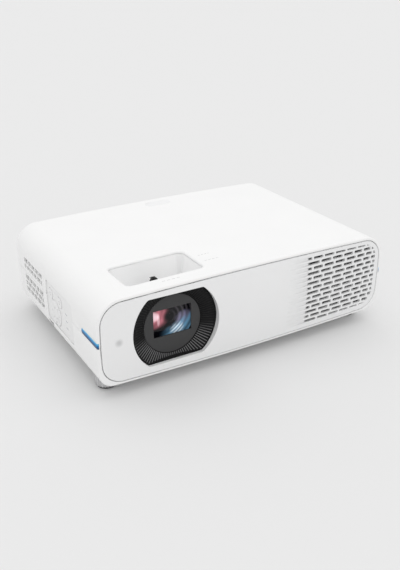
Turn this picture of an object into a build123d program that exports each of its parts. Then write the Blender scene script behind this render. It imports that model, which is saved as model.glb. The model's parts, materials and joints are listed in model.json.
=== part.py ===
"""Home projector: white crowned casing, projection lens with focus and zoom levers, light engine,
cooling, boards, sockets, keypad and screw feet.

The origin is on the table, under the middle of the projector.  +X is to the right of someone who
looks at the lens, +Y runs from the lens to the sockets and +Z is up.  All sizes are millimetres.
"""
from build123d import *
import os
from math import asin, cos, pi, radians, sin, tan

os.makedirs("parts", exist_ok=True)

# ---------------------------------------------------------------- driving dimensions: casing
width = 305.0               # across the widest part of the sides
depth = 219.0               # crown of the front panel to the back
casing_height = 84.0        # underside of the casing to its top, both at the middle
foot_height = 11.0          # table to the underside of the casing
side_bow = 0.9              # how far each side bows outwards
top_crown = 2.2             # how far the top falls from its middle to its sides
bottom_crown = 2.5          # how far the underside rises from its middle to its sides
corner_radius = 23.0        # upper long edges of the casing
low_corner_radius = 13.5    # lower long edges
mouth_low_radius = 20.0     # lower corners of the front opening
mouth_depth = 4.2           # thickness of the rim round the front opening
rim_wall = 2.5              # width of that rim
back_radius = 14.0          # edge round the back
rim_radius = 1.6            # outer edge of the front rim
wall = 2.3                  # casing wall
parting_height = 41.0       # parting line of the two covers, above the underside
parting_groove = 0.4        # fine line round the parting line, high and deep
fit_gap = 0.3               # between parts that drop into each other
contact_gap = 0.12          # round inlays that are glued in

# front panel
front_pillow = 3.0          # how far the middle of the front panel stands proud of the rim
seam_gap = 0.9              # shadow line between rim and panel
panel_thickness = 2.2
panel_flange = 1.6          # thickness of the flange that closes the shadow line
flange_width = 5.0
opening_radius = 41.5       # lens opening: a circle with its top and bottom cut flat
opening_half_height = 32.0
opening_corner = 4.0
collar_wall = 1.6           # collar round the lens opening
collar_back = 3.4           # how far the collar runs behind the rim plane
vent_rows = 14
vent_pitch = 5.0            # from one row of slots to the next
vent_top = 75.5             # middle of the top row, above the underside
slot_height = 3.0
slot_bar = 1.8              # bar between two slots of a row
vent_margin = 7.7           # the vent stops this far inside the casing's outside
vent_rise = 0.9             # and its outline sits this much higher than the casing's
vent_start = 60.5           # slots run from here to vent_end, fading grooves from fade_start
vent_end = 144.5
fade_start = 38.0
fade_depth = 1.1
odd_bars = (65.5, 78.5, 92.0, 106.0, 119.5, 131.0, 140.5)
even_bars = (74.5, 88.5, 102.5, 115.5, 127.5, 138.0)
ir_x = -133.5               # infrared window
ir_height = 42.5
ir_radius = 5.0

# lens
lens_x = -79.4              # optical axis
lens_height = 42.9          # optical axis above the underside
bezel_front = 1.9           # front edge of the bezel behind the rim plane
bezel_back = 9.0
bezel_lip = 1.0             # narrow front edge of the bezel
mask_radius = 27.6
mask_front = 6.8
mask_thickness = 1.2
aperture_width = 37.0
aperture_height = 25.7
aperture_shift = 2.6        # window in the mask, above the optical axis
mask_ledge = 2.0            # ledge that the mask is glued to
cell_front = 10.6           # front lens cell behind the rim plane
cell_depth = 4.8
cell_radius = 25.2
cell_wall = 1.6
cell_floor = 1.4
cell_tube_end = 32.0
front_glass_sag = 2.5       # how far the front lens bulges
front_glass_hollow = 0.4    # how far its back is hollow
barrel_front = 17.8
barrel_radius = 12.5
barrel_wall = 1.5
mount_front = 62.4          # lens mounting flange, between here and the light engine
mount_thickness = 4.0
mount_size = 42.0
mount_screw_radius = 1.6
mount_screw_inset = 4.5
ring_radius = 14.6
ring_fit = 0.05             # radial running clearance of the rings and cells
focus_front = 22.5
focus_length = 11.0
zoom_front = 38.0
zoom_length = 13.0
collar_between = 3.0        # fixed collar between the two rings
lever_radius = 28.2         # optical axis to the tip of each lever
lever_lean = 2.6            # the tip leans this far to the right of the axis
lever_length = 5.0          # along the optical axis
lever_base = 8.0
lever_tip = 4.4
lever_swing = 20.0          # each way, degrees
zoom_cell_front = 40.0
zoom_cell_length = 12.0
lens_pitch = 2.2            # web between a cell's two lenses
zoom_glass_edge = 2.0
zoom_glass_bulge = 1.4
zoom_glass_hollow = 0.4
rear_glass_front = 58.5
rear_glass_edge = 2.0
rear_glass_bulge = 1.0

# lever recess in the top
well_x = -78.5              # middle of the opening
well_width = 76.0
well_front = 17.2           # front and back edge of the opening behind the rim plane
well_back = 60.5
well_corner = 6.0
well_floor = 60.0           # floor above the underside
well_draft = 6.0            # degrees
well_wall = 1.8
well_flange = 4.0
well_edge = 1.9             # soft edge of the opening
lever_clearance = 0.8

# badge on the top
badge_x = 2.0
badge_y = 190.0
badge_width = 29.0
badge_height = 12.0
badge_depth = 0.8

# left side: accent strips, keypad
accent_length = 34.0
accent_low = 41.5
accent_height = 4.9
accent_depth = 1.4
accent_end = 2.2
keypad_y = 88.2             # middle of the keypad behind the rim plane
keypad_z = 37.0
keypad_width = 66.0
keypad_height = 40.0
keypad_corner = 4.0
keypad_sink = 0.5           # face of the keypad below the casing's outside
keypad_flange = 1.4
keypad_flange_wall = 1.2
key_gap = 0.35
key_radius = 5.2            # round keys
key_depth = 3.6             # casing's widest point to the inner end of the keys
pad_y = 98.0                # middle of the ring of keys
pad_z = 31.0
pad_radius = 12.4
round_key_spread = 11.6     # power and source keys, each side of the ring's middle
round_key_rise = 15.6
light_y = 71.5
light_z = 34.0
light_pitch = 7.0
light_length = 5.0
light_height = 1.8
switch_gap = 0.8            # key to switch, more than the travel
switch_height = 2.2
switch_size = 6.0
board_thickness = 1.6

# side vents
side_vent_start = 132.0
side_vent_end = 184.0
side_rows = (22.4, 29.0, 35.6, 47.2, 53.8)
side_slot_height = 5.0
side_slot_pitch = 10.2
side_bar = 1.8
lock_y = 115.5
lock_z = 13.2
lock_width = 13.0
lock_height = 4.2
lock_reach = 12.0

# feet and fasteners
foot_x = 136.0
front_foot_y = 26.0
pad_radius_foot = 8.4
pad_thickness = 2.4
screw_head_radius = 10.0
screw_head_height = 8.0
screw_ribs = 24
rib_radius = 0.9
stud_radius = 3.0
stud_length = 26.0
swivel_radius = 2.0
swivel_length = 3.6
boss_radius = 6.5
rear_foot_x = 120.0
rear_foot_y = 190.0
rear_foot_radius = 9.0
insert_spacing_x = 140.0
insert_spacing_y = 100.0
insert_y = 110.0
insert_bore = 1.65          # M4 thread
insert_radius = 3.0
insert_length = 8.0
insert_sink = 1.2           # below the insert, above the casing's underside at its middle
cover_screw_places = ((-122.0, 100.0), (124.0, 112.0), (-124.0, 196.0), (124.0, 196.0), (0.0, 30.0))
cover_boss_radius = 4.8
cover_screw_radius = 1.45
cover_screw_head = 3.0
cover_head_height = 2.2
cover_screw_bridge = 5.0    # plastic between screw head and parting line
cover_screw_bite = 9.0

# light engine
engine_left = 33.0          # from the optical axis
engine_right = 109.0
engine_depth = 46.0
engine_low = 10.0
engine_high = 74.0
engine_wall = 2.5
engine_post_radius = 4.0
led_bore = 7.0
led_places = (60.0, 85.0)   # back wall modules, from the optical axis
led_width = 22.0
led_height = 30.0
led_base = 3.0
led_dome = 5.0
condenser_radius = 8.0
chip_width = 30.0
chip_height = 20.0
chip_thickness = 3.0
prism_size = 22.0
mirror_width = 24.0
mirror_height = 26.0
mirror_thickness = 1.2

# cooling
fan_size = 60.0
fan_depth = 20.0
fan_x = 97.0
fan_height = 43.0
fan_front = 11.0
intake_size = 50.0
intake_depth = 15.0
intake_y = 158.0
intake_height = 38.0
fan_wall = 1.6
fan_tip_gap = 0.9
fan_hub = 0.4               # share of the bore taken by the hub
fan_shaft = 1.5
fan_blades = 9
fan_corner = 4.0
fan_hole_inset = 4.6
fan_hole_radius = 2.0
strut_width = 3.0
strut_thickness = 1.8
blade_pitch = 38.0
blade_thickness = 1.1
heatsink_left = 66.0
heatsink_right = 140.0
heatsink_front = 38.0
heatsink_back = 100.0
heatsink_low = 15.0
heatsink_high = 72.0
fin_pitch = 3.2
fin_thickness = 0.6
sink_base = 3.0
pipe_radius = 3.0
pipe_heights = (29.0, 42.9, 57.0)
rear_sink_depth = 20.0

# boards, sockets, speaker
socket_board_low = 24.0
socket_board_left = -118.0
socket_board_right = 35.0
socket_board_front = 146.0
supply_left = 42.0
supply_right = 114.0
supply_front = 126.0
supply_low = 16.0
rear_left = -128.0
rear_right = 122.0
rear_low = 17.0
rear_high = 63.0
rear_corner = 5.0
rear_sink = 0.8
rear_flange = 3.0
rear_flange_wall = 1.2
socket_wall = 0.8
socket_play = 0.2           # between a socket and the hole in the rear panel
hdmi_places = (-72.0, -50.0)
hdmi_mouth = (14.2, 4.8)
hdmi_depth = 11.0
usb_x = -29.0
usb_mouth = (12.6, 5.2)
usb_depth = 13.0
lan_x = -97.0
lan_mouth = (11.8, 8.6)
lan_depth = 16.0
serial_x = -2.0
serial_width = 31.0
serial_shell = 17.0
serial_height = 8.6
serial_pin = 0.5
audio_places = (20.0, 31.0)
audio_bore = 1.8
audio_nose = 3.2
audio_body = 12.0
inlet_x = 88.0
inlet_z = 40.0
inlet_mouth = (24.6, 16.6)
inlet_wall = 1.6
inlet_depth = 16.0
speaker_y = 150.0
speaker_size = 40.0
speaker_height = 43.0
speaker_depth = 24.0

# ---------------------------------------------------------------- planes and places that follow
rim_y = -depth / 2 + front_pillow
back_y = depth / 2
base_z = foot_height
top_z = base_z + casing_height
middle_z = (base_z + top_z) / 2
parting_z = base_z + parting_height
lens_z = base_z + lens_height
engine_front_y = rim_y + mount_front + mount_thickness
engine_back_y = engine_front_y + engine_depth
mouth_y = back_y - rear_sink


def across(y, x=0.0, z=0.0):
    """Upright plane that faces the front, y behind the middle, its origin at x and z"""
    return Plane(origin=(x, y, z), x_dir=(1, 0, 0), z_dir=(0, -1, 0))


def level(z, x=0.0, y=0.0):
    """Level plane at height z"""
    return Plane(origin=(x, y, z), x_dir=(1, 0, 0), z_dir=(0, 0, 1))


def facing_right(x, y=0.0, z=0.0):
    """Upright plane that faces +X"""
    return Plane(origin=(x, y, z), x_dir=(0, 1, 0), z_dir=(1, 0, 0))


def behind_rim(distance):
    """Y of a place that is a distance behind the plane of the front rim"""
    return rim_y + distance


def above_base(height):
    """Z of a place that is a height above the casing's underside"""
    return base_z + height


def save(piece, name):
    """Label a finished piece and write it as its own node"""
    piece.label = name
    export_step(piece, f"parts/{name}.step")


# ---------------------------------------------------------------- casing volume
def casing(inset, front, back, back_edge, low_radius=low_corner_radius):
    """Casing volume drawn in by inset, from front to back, with its back edge rounded by back_edge"""
    half = width / 2 - side_bow - inset
    low = base_z + inset
    high = top_z - inset
    with BuildPart() as block:
        with BuildSketch(across(front)) as section:
            with BuildLine():
                ThreePointArc((-half, high - top_crown), (0, high), (half, high - top_crown))
                ThreePointArc((half, high - top_crown), (half + side_bow, middle_z),
                              (half, low + bottom_crown))
                ThreePointArc((half, low + bottom_crown), (0, low), (-half, low + bottom_crown))
                ThreePointArc((-half, low + bottom_crown), (-half - side_bow, middle_z),
                              (-half, high - top_crown))
            make_face()
            upper = section.vertices().group_by(Axis.Y)[-1]
            fillet(upper, corner_radius - inset)
            lower = section.vertices().group_by(Axis.Y)[0]
            fillet(lower, low_radius - inset)
        extrude(amount=front - back)
        if back_edge > 0:
            fillet(block.edges().group_by(Axis.Y)[-1], back_edge)
    return block.part


def mouth(inset, front, back):
    """Volume of the front opening, drawn in by inset from the casing's outside"""
    return casing(inset, front, back, 0, mouth_low_radius + wall)


def skin(outer_inset, inner_inset):
    """Layer of the casing's wall between two depths below its outside"""
    with BuildPart() as layer:
        add(casing(outer_inset, rim_y, back_y - outer_inset, back_radius - outer_inset))
        add(casing(inner_inset, rim_y - 1, back_y - inner_inset, back_radius - inner_inset),
            mode=Mode.SUBTRACT)
    return layer.part


with BuildPart() as outside:
    add(casing(0, rim_y, back_y, back_radius))
    fillet(outside.edges().group_by(Axis.Y)[0], rim_radius)
with BuildPart() as cavity:
    add(casing(wall, behind_rim(mouth_depth), back_y - wall, back_radius - wall))
    add(mouth(rim_wall, rim_y - 1, behind_rim(mouth_depth)))
inside = cavity.part


# ---------------------------------------------------------------- outlines that several pieces share
def lens_outline(grow):
    """Outline of the lens opening grown by grow: a circle with its top and bottom cut flat"""
    with BuildSketch() as outline:
        Circle(opening_radius + grow)
        Rectangle(2 * width, 2 * (opening_half_height + grow), mode=Mode.INTERSECT)
        fillet(outline.vertices(), opening_corner + grow)
    return outline.sketch


def well_volume(grow, floor_drop):
    """Tapered volume of the lever recess, grown by grow, its floor lower by floor_drop"""
    top = top_z + 1
    floor = above_base(well_floor) - floor_drop
    spread = (top - top_z) * tan(radians(well_draft))
    length = well_back - well_front
    with BuildPart() as volume:
        with BuildSketch(level(top, well_x, behind_rim((well_front + well_back) / 2))):
            RectangleRounded(well_width + 2 * (grow + spread), length + 2 * (grow + spread),
                             well_corner + grow)
        extrude(amount=floor - top, taper=well_draft)
    return volume.part


def keypad_prism(grow):
    """Straight prism through the left wall with the keypad's outline, grown by grow"""
    with BuildPart() as prism:
        with BuildSketch(facing_right(-width / 2 - 1, behind_rim(keypad_y), above_base(keypad_z))):
            RectangleRounded(keypad_width + 2 * grow, keypad_height + 2 * grow, keypad_corner)
        extrude(amount=2 * wall + 8)
    return prism.part


def accent_prism(side, grow):
    """Prism through a side wall with the accent strip's outline, grown by grow"""
    start = 2.0
    length = accent_length + start + grow
    with BuildPart() as prism:
        with BuildSketch(facing_right(0, behind_rim(-start + length / 2),
                                      above_base(accent_low + accent_height / 2))) as outline:
            Rectangle(length, accent_height + 2 * grow)
            fillet(outline.vertices().group_by(Axis.X)[-1], accent_end)
        extrude(amount=side * width)
    return prism.part


def badge_prism(grow):
    """Prism through the top with the badge's outline, grown by grow"""
    with BuildPart() as prism:
        with BuildSketch(level(top_z - wall, badge_x, behind_rim(badge_y))):
            RectangleRounded(badge_width + 2 * grow, badge_height + 2 * grow,
                             badge_height / 2 + grow - 0.01)
        extrude(amount=2 * wall)
    return prism.part


def row_slots(start, end, bars, bar):
    """Middle and length of each slot of a row that runs from start to end, cut by bars"""
    inner = [place for place in bars if start + bar < place < end - bar]
    edges = [start] + [edge for place in inner for edge in (place - bar / 2, place + bar / 2)] + [end]
    return [((low + high) / 2, high - low) for low, high in zip(edges[0::2], edges[1::2])]


def side_slots(side):
    """Slots of the vent in one side wall"""
    with BuildPart() as slots:
        for row, height in enumerate(side_rows):
            shift = side_slot_pitch / 2 if row % 2 else 0
            bars = [side_vent_start + shift + side_slot_pitch * step for step in range(7)]
            with BuildSketch(facing_right(side * (width / 2 - wall - 4), 0, above_base(height))):
                for middle, length in row_slots(side_vent_start, side_vent_end, bars, side_bar):
                    with Locations((behind_rim(middle), 0)):
                        RectangleRounded(length, side_slot_height, side_slot_height / 4)
            extrude(amount=side * (wall + 8))
    return slots.part


def rear_prism(grow, front, back):
    """Prism with the outline of the rear panel, grown by grow"""
    with BuildPart() as prism:
        with BuildSketch(across(front, (rear_left + rear_right) / 2,
                                above_base((rear_low + rear_high) / 2))):
            RectangleRounded(rear_right - rear_left + 2 * grow, rear_high - rear_low + 2 * grow,
                             rear_corner)
        extrude(amount=front - back)
    return prism.part


def parting_line():
    """Fine groove round the outside of the parting line"""
    with BuildPart() as groove:
        with BuildSketch(level(parting_z)):
            Rectangle(2 * width, 2 * depth)
        extrude(amount=parting_groove)
        add(casing(parting_groove, rim_y - 1, back_y - parting_groove,
                   back_radius - parting_groove), mode=Mode.SUBTRACT)
    return groove.part


keypad_hole = keypad_prism(0)
rear_hole = rear_prism(0, back_y - wall - 1, back_y + 1)
left_slots = side_slots(-1)
right_slots = side_slots(1)
accent_pockets = [accent_prism(side, contact_gap) - casing(accent_depth + contact_gap, rim_y - 3,
                                                           back_y, 0) for side in (-1, 1)]

# ---------------------------------------------------------------- top cover
def round_the_recess(edge):
    """True for the edges where the lever recess meets the outside of the top"""
    middle = edge @ 0.5
    top_here = top_z - top_crown * (middle.X / (width / 2 - side_bow)) ** 2
    near_x = abs(middle.X - well_x) < well_width / 2 + well_wall
    near_y = behind_rim(well_front) - well_wall < middle.Y < behind_rim(well_back) + well_wall
    return near_x and near_y and abs(middle.Z - top_here) < parting_groove


with BuildPart() as top_cover:
    add(outside.part)
    add(inside, mode=Mode.SUBTRACT)
    with BuildSketch(level(parting_z)):
        for x, distance in cover_screw_places:
            with Locations((x, behind_rim(distance))):
                Circle(cover_boss_radius)
    extrude(amount=top_z - parting_z)
    add(outside.part, mode=Mode.INTERSECT)
    split(bisect_by=level(parting_z), keep=Keep.TOP)
    with BuildSketch(level(parting_z)):
        for x, distance in cover_screw_places:
            with Locations((x, behind_rim(distance))):
                Circle(cover_screw_radius + ring_fit)
    extrude(amount=cover_screw_bite + 2, mode=Mode.SUBTRACT)
    add(well_volume(0, 0), mode=Mode.SUBTRACT)
    add(keypad_hole, mode=Mode.SUBTRACT)
    add(rear_hole, mode=Mode.SUBTRACT)
    add(left_slots, mode=Mode.SUBTRACT)
    add(right_slots, mode=Mode.SUBTRACT)
    for pocket in accent_pockets:
        add(pocket, mode=Mode.SUBTRACT)
    add(badge_prism(contact_gap) - casing(badge_depth, rim_y, back_y, 0), mode=Mode.SUBTRACT)
    add(parting_line(), mode=Mode.SUBTRACT)
    fillet(top_cover.edges().filter_by(round_the_recess), well_edge)
save(top_cover.part, "top_cover")

# ---------------------------------------------------------------- bottom cover
insert_places = [(x, behind_rim(insert_y) + y)
                 for x in (-insert_spacing_x / 2, insert_spacing_x / 2)
                 for y in (-insert_spacing_y / 2, insert_spacing_y / 2)]
foot_places = [(side * foot_x, behind_rim(front_foot_y)) for side in (-1, 1)]
engine_middle_x = lens_x + (engine_right - engine_left) / 2
engine_post_places = [(x, y) for x in (lens_x - engine_left + 8, lens_x + engine_right - 8)
                      for y in (engine_front_y + 8, engine_back_y - 8)]
insert_low_z = above_base(insert_sink)
head_top_z = parting_z - cover_screw_bridge

with BuildPart() as bottom_cover:
    add(outside.part)
    add(inside, mode=Mode.SUBTRACT)
    with BuildSketch(level(base_z)):
        for x, distance in cover_screw_places:
            with Locations((x, behind_rim(distance))):
                Circle(cover_boss_radius)
    extrude(amount=parting_z - base_z)
    with BuildSketch(level(base_z)):
        with Locations(*insert_places):
            Circle(insert_radius + 2.5)
    extrude(amount=insert_sink + insert_length + 1.5)
    with BuildSketch(level(base_z)):
        with Locations(*engine_post_places):
            Circle(engine_post_radius)
    extrude(amount=engine_low)
    with BuildSketch(level(base_z)):
        with Locations(*foot_places):
            Circle(boss_radius)
    extrude(amount=stud_length)
    add(outside.part, mode=Mode.INTERSECT)
    with BuildSketch(level(pad_thickness + screw_head_height + 0.6)):
        with Locations(*foot_places):
            Circle(boss_radius)
    extrude(amount=base_z + 4)
    split(bisect_by=level(parting_z), keep=Keep.BOTTOM)
    with BuildSketch(level(0)):
        for x, distance in cover_screw_places:
            with Locations((x, behind_rim(distance))):
                Circle(cover_screw_head + fit_gap)
    extrude(amount=head_top_z, mode=Mode.SUBTRACT)
    with BuildSketch(level(0)):
        for x, distance in cover_screw_places:
            with Locations((x, behind_rim(distance))):
                Circle(cover_screw_radius + ring_fit)
        with Locations(*insert_places):
            Circle(insert_bore + 0.6)
    extrude(amount=parting_z, mode=Mode.SUBTRACT)
    with BuildSketch(level(insert_low_z)):
        with Locations(*insert_places):
            Circle(insert_radius)
    extrude(amount=insert_length, mode=Mode.SUBTRACT)
    with BuildSketch(level(0)):
        with Locations(*foot_places):
            Circle(stud_radius + ring_fit)
    extrude(amount=pad_thickness + screw_head_height + stud_length + 1, mode=Mode.SUBTRACT)
    with BuildSketch(facing_right(-width / 2 - 1, behind_rim(lock_y), above_base(lock_z))):
        RectangleRounded(lock_width, lock_height, 1)
    extrude(amount=lock_reach, mode=Mode.SUBTRACT)
    add(keypad_hole, mode=Mode.SUBTRACT)
    add(rear_hole, mode=Mode.SUBTRACT)
    add(left_slots, mode=Mode.SUBTRACT)
    add(right_slots, mode=Mode.SUBTRACT)
save(bottom_cover.part, "bottom_cover")


# ---------------------------------------------------------------- front panel
def pillow(front, thickness, margin):
    """Sheet of even thickness, flat along its border and proud by front_pillow at its middle"""
    half_width = width / 2 + margin
    half_height = casing_height / 2 + margin
    net = [[Vector(x, front - 4 * front_pillow * (x == 0 and z == 0), middle_z + z)
            for z in (-half_height, 0, half_height)] for x in (-half_width, 0, half_width)]
    return Solid.extrude(Face.make_bezier_surface(net), Vector(0, thickness, 0))


panel_inset = rim_wall + seam_gap
vent_edge = Pos(0, 0, vent_rise) * mouth(vent_margin, rim_y - 2 * front_pillow, behind_rim(10))
with BuildPart() as front_panel:
    add(mouth(panel_inset, rim_y - 2 * front_pillow, behind_rim(panel_thickness)))
    add(pillow(rim_y, panel_thickness, 0), mode=Mode.INTERSECT)
    with BuildSketch(across(behind_rim(collar_back), lens_x, lens_z)):
        add(lens_outline(collar_wall))
    extrude(amount=collar_back + front_pillow / 2)
    add(pillow(rim_y, 2 * depth, 0), mode=Mode.INTERSECT)
    add(mouth(rim_wall + contact_gap, behind_rim(panel_thickness), behind_rim(panel_thickness + panel_flange))
        - mouth(wall + flange_width, rim_y, behind_rim(10)))
    with BuildSketch(across(behind_rim(10), lens_x, lens_z)):
        add(lens_outline(0))
    extrude(amount=10 + 2 * front_pillow, mode=Mode.SUBTRACT)
    with BuildSketch(across(behind_rim(10), lens_x, lens_z)):
        add(lens_outline(collar_wall + fit_gap))
    extrude(amount=10 - collar_back, mode=Mode.SUBTRACT)
    with BuildSketch(across(behind_rim(10), ir_x, above_base(ir_height))):
        Circle(ir_radius)
    extrude(amount=10 + 2 * front_pillow, mode=Mode.SUBTRACT)
    for row in range(vent_rows):
        bars = even_bars if row % 2 else odd_bars
        height = above_base(vent_top - row * vent_pitch)
        with BuildPart(mode=Mode.PRIVATE) as row_cut:
            with BuildSketch(across(behind_rim(10), 0, height)):
                for middle, length in row_slots(vent_start, vent_end, bars, slot_bar):
                    with Locations((middle, 0)):
                        RectangleRounded(length, slot_height, slot_height / 2 - 0.4)
            extrude(amount=10 + 2 * front_pillow)
            add(vent_edge, mode=Mode.INTERSECT)
        add(row_cut.part, mode=Mode.SUBTRACT)
        rise = 1 - ((height - middle_z) / (casing_height / 2)) ** 2
        start_y = rim_y - front_pillow * rise * (1 - (2 * fade_start / width) ** 2)
        end_y = rim_y - front_pillow * rise * (1 - (2 * vent_start / width) ** 2)
        with BuildSketch(level(height - slot_height / 2)):
            with BuildLine():
                Polyline((fade_start, start_y), (vent_start, end_y + fade_depth),
                         (vent_start, end_y - front_pillow), (fade_start, start_y - front_pillow), close=True)
            make_face()
        extrude(amount=slot_height, mode=Mode.SUBTRACT)
save(front_panel.part, "front_panel")

# ---------------------------------------------------------------- infrared window
with BuildPart() as ir_window:
    with BuildSketch(across(behind_rim(panel_thickness), ir_x, above_base(ir_height))):
        Circle(ir_radius)
    extrude(amount=panel_thickness + 2 * front_pillow)
    add(pillow(rim_y, 2 * depth, 0), mode=Mode.INTERSECT)
save(ir_window.part, "ir_window")

# ---------------------------------------------------------------- lens bezel and mask
with BuildPart() as lens_bezel:
    with BuildSketch(across(behind_rim(bezel_back), lens_x, lens_z)):
        add(lens_outline(-fit_gap))
    extrude(amount=bezel_back - bezel_front)
    with BuildSketch(across(behind_rim(bezel_back), lens_x, lens_z)):
        add(lens_outline(collar_wall))
    extrude(amount=bezel_back - collar_back)
    with BuildSketch(Plane((lens_x, 0, lens_z), x_dir=(1, 0, 0), z_dir=(0, 0, 1))) as funnel:
        with BuildLine():
            Polyline((0, behind_rim(0)), (opening_radius + collar_wall, behind_rim(0)),
                     (opening_radius - bezel_lip, behind_rim(bezel_front + 0.2)),
                     (mask_radius + fit_gap, behind_rim(mask_front - 0.4)),
                     (mask_radius + fit_gap, behind_rim(mask_front + mask_thickness)),
                     (mask_radius - mask_ledge, behind_rim(mask_front + mask_thickness)),
                     (mask_radius - mask_ledge, behind_rim(bezel_back + 1)),
                     (0, behind_rim(bezel_back + 1)), close=True)
        make_face()
    with BuildPart(mode=Mode.PRIVATE) as cone:
        add(revolve(funnel.sketch, Axis((lens_x, 0, lens_z), (0, 1, 0)), mode=Mode.PRIVATE))
        with BuildSketch(across(behind_rim(bezel_back + 1), lens_x, lens_z)):
            add(lens_outline(-fit_gap - bezel_lip))
        extrude(amount=2 * bezel_back, mode=Mode.INTERSECT)
    add(cone.part, mode=Mode.SUBTRACT)
save(lens_bezel.part, "lens_bezel")

with BuildPart() as lens_mask:
    with BuildSketch(across(behind_rim(mask_front + mask_thickness), lens_x, lens_z)):
        Circle(mask_radius)
        with Locations((0, aperture_shift)):
            Rectangle(aperture_width, aperture_height, mode=Mode.SUBTRACT)
    extrude(amount=mask_thickness)
save(lens_mask.part, "lens_mask")


# ---------------------------------------------------------------- lens
def turned(points, first_y):
    """Solid of revolution about the optical axis; points are radius and distance behind first_y"""
    with BuildPart() as solid:
        with BuildSketch(Plane((lens_x, first_y, lens_z), x_dir=(1, 0, 0), z_dir=(0, 0, 1))):
            with BuildLine():
                Polyline(*points, close=True)
            make_face()
        revolve(axis=Axis((lens_x, 0, lens_z), (0, 1, 0)))
    return solid.part


def dome_middle(radius, bulge):
    """Point half way along a spherical face, as radius and height above the face's edge"""
    sphere = (radius ** 2 + bulge ** 2) / (2 * bulge)
    half_angle = asin(radius / sphere) / 2
    return sphere * sin(half_angle), bulge - sphere * (1 - cos(half_angle))


def lens_glass(radius, edge, front_bulge, back_bulge, first_y):
    """Lens with an edge of a given thickness; a bulge is how far a face stands out at the axis"""
    front_x, front_rise = dome_middle(radius, front_bulge)
    back_x, back_rise = dome_middle(radius, back_bulge)
    with BuildPart() as glass:
        with BuildSketch(Plane((lens_x, first_y, lens_z), x_dir=(1, 0, 0), z_dir=(0, 0, 1))):
            with BuildLine():
                front = ThreePointArc((0, -front_bulge), (front_x, -front_rise), (radius, 0))
                rim = Line(front @ 1, (radius, edge))
                back = ThreePointArc(rim @ 1, (back_x, edge + back_rise), (0, edge + back_bulge))
                Line(back @ 1, front @ 0)
            make_face()
        revolve(axis=Axis((lens_x, 0, lens_z), (0, 1, 0)))
    return glass.part


barrel_bore = barrel_radius - barrel_wall
tube_radius = barrel_bore - ring_fit
collar_radius = ring_radius - 1.0
cell_front_y = behind_rim(cell_front)
front_glass_radius = cell_radius - cell_wall
front_glass_y = cell_front_y + front_glass_sag
glass_edge = cell_depth - cell_floor - front_glass_sag

lens_barrel_points = [
    (barrel_bore, 0), (collar_radius, 0), (collar_radius, focus_front - barrel_front - fit_gap),
    (barrel_radius, focus_front - barrel_front - fit_gap),
    (barrel_radius, zoom_front - collar_between - barrel_front - fit_gap),
    (collar_radius, zoom_front - collar_between - barrel_front - fit_gap),
    (collar_radius, zoom_front - barrel_front - fit_gap),
    (barrel_radius, zoom_front - barrel_front - fit_gap),
    (barrel_radius, mount_front - barrel_front + 1), (barrel_bore, mount_front - barrel_front + 1)]
with BuildPart() as lens_barrel:
    add(turned(lens_barrel_points, behind_rim(barrel_front)))
    with BuildSketch(across(engine_front_y, lens_x, lens_z)):
        RectangleRounded(mount_size, mount_size, mount_screw_inset)
        Circle(barrel_bore, mode=Mode.SUBTRACT)
        with GridLocations(mount_size - 2 * mount_screw_inset, mount_size - 2 * mount_screw_inset, 2, 2):
            Circle(mount_screw_radius, mode=Mode.SUBTRACT)
    extrude(amount=mount_thickness)
save(lens_barrel.part, "lens_barrel")


def lever_ring(front, length, lever_y):
    """Ring that turns on the barrel, with the lever that reaches up into the recess"""
    with BuildPart() as ring:
        with BuildSketch(across(behind_rim(front + length), lens_x, lens_z)):
            Circle(ring_radius)
            Circle(barrel_radius + ring_fit, mode=Mode.SUBTRACT)
        extrude(amount=length)
        with BuildSketch(across(behind_rim(lever_y) + lever_length / 2, lens_x, lens_z)) as arm:
            with BuildLine():
                Polyline((-lever_base / 2, barrel_radius + 1), (lever_base / 2, barrel_radius + 1),
                         (lever_base / 2, ring_radius + 4), (lever_lean + lever_tip / 2, lever_radius),
                         (lever_lean - lever_tip / 2, lever_radius), (-lever_base / 2, ring_radius + 4),
                         close=True)
            make_face()
            fillet(arm.vertices().group_by(Axis.Y)[-1], lever_tip / 3)
        extrude(amount=lever_length)
    return ring.part


focus_lever_y = focus_front + focus_length / 2
zoom_lever_y = zoom_front + zoom_length / 2
save(lever_ring(focus_front, focus_length, focus_lever_y), "focus_ring")
save(lever_ring(zoom_front, zoom_length, zoom_lever_y), "zoom_ring")

save(turned([(tube_radius, cell_depth - cell_floor), (cell_radius - cell_wall, cell_depth - cell_floor),
             (cell_radius - cell_wall, 0), (cell_radius, 0), (cell_radius, cell_depth),
             (tube_radius, cell_depth), (tube_radius, cell_tube_end - cell_front),
             (tube_radius - cell_wall, cell_tube_end - cell_front),
             (tube_radius - cell_wall, cell_depth - cell_floor)], cell_front_y), "front_lens_cell")
save(lens_glass(front_glass_radius, glass_edge, front_glass_sag, -front_glass_hollow, front_glass_y),
     "front_lens_glass")

zoom_web = zoom_cell_length / 2
glass_seat = tube_radius - cell_wall
save(turned([(glass_seat - 1, zoom_web - lens_pitch / 2), (glass_seat, zoom_web - lens_pitch / 2),
             (glass_seat, 0), (tube_radius, 0), (tube_radius, zoom_cell_length),
             (glass_seat, zoom_cell_length), (glass_seat, zoom_web + lens_pitch / 2),
             (glass_seat - 1, zoom_web + lens_pitch / 2)], behind_rim(zoom_cell_front)), "zoom_lens_cell")
front_of_web = behind_rim(zoom_cell_front) + zoom_web - lens_pitch / 2
back_of_web = behind_rim(zoom_cell_front) + zoom_web + lens_pitch / 2
with BuildPart() as zoom_lens_glass:
    add(lens_glass(glass_seat, zoom_glass_edge, zoom_glass_bulge, -zoom_glass_hollow,
                   front_of_web - zoom_glass_edge))
    add(lens_glass(glass_seat, zoom_glass_edge, -zoom_glass_hollow, zoom_glass_bulge, back_of_web))
save(zoom_lens_glass.part, "zoom_lens_glass")
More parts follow.
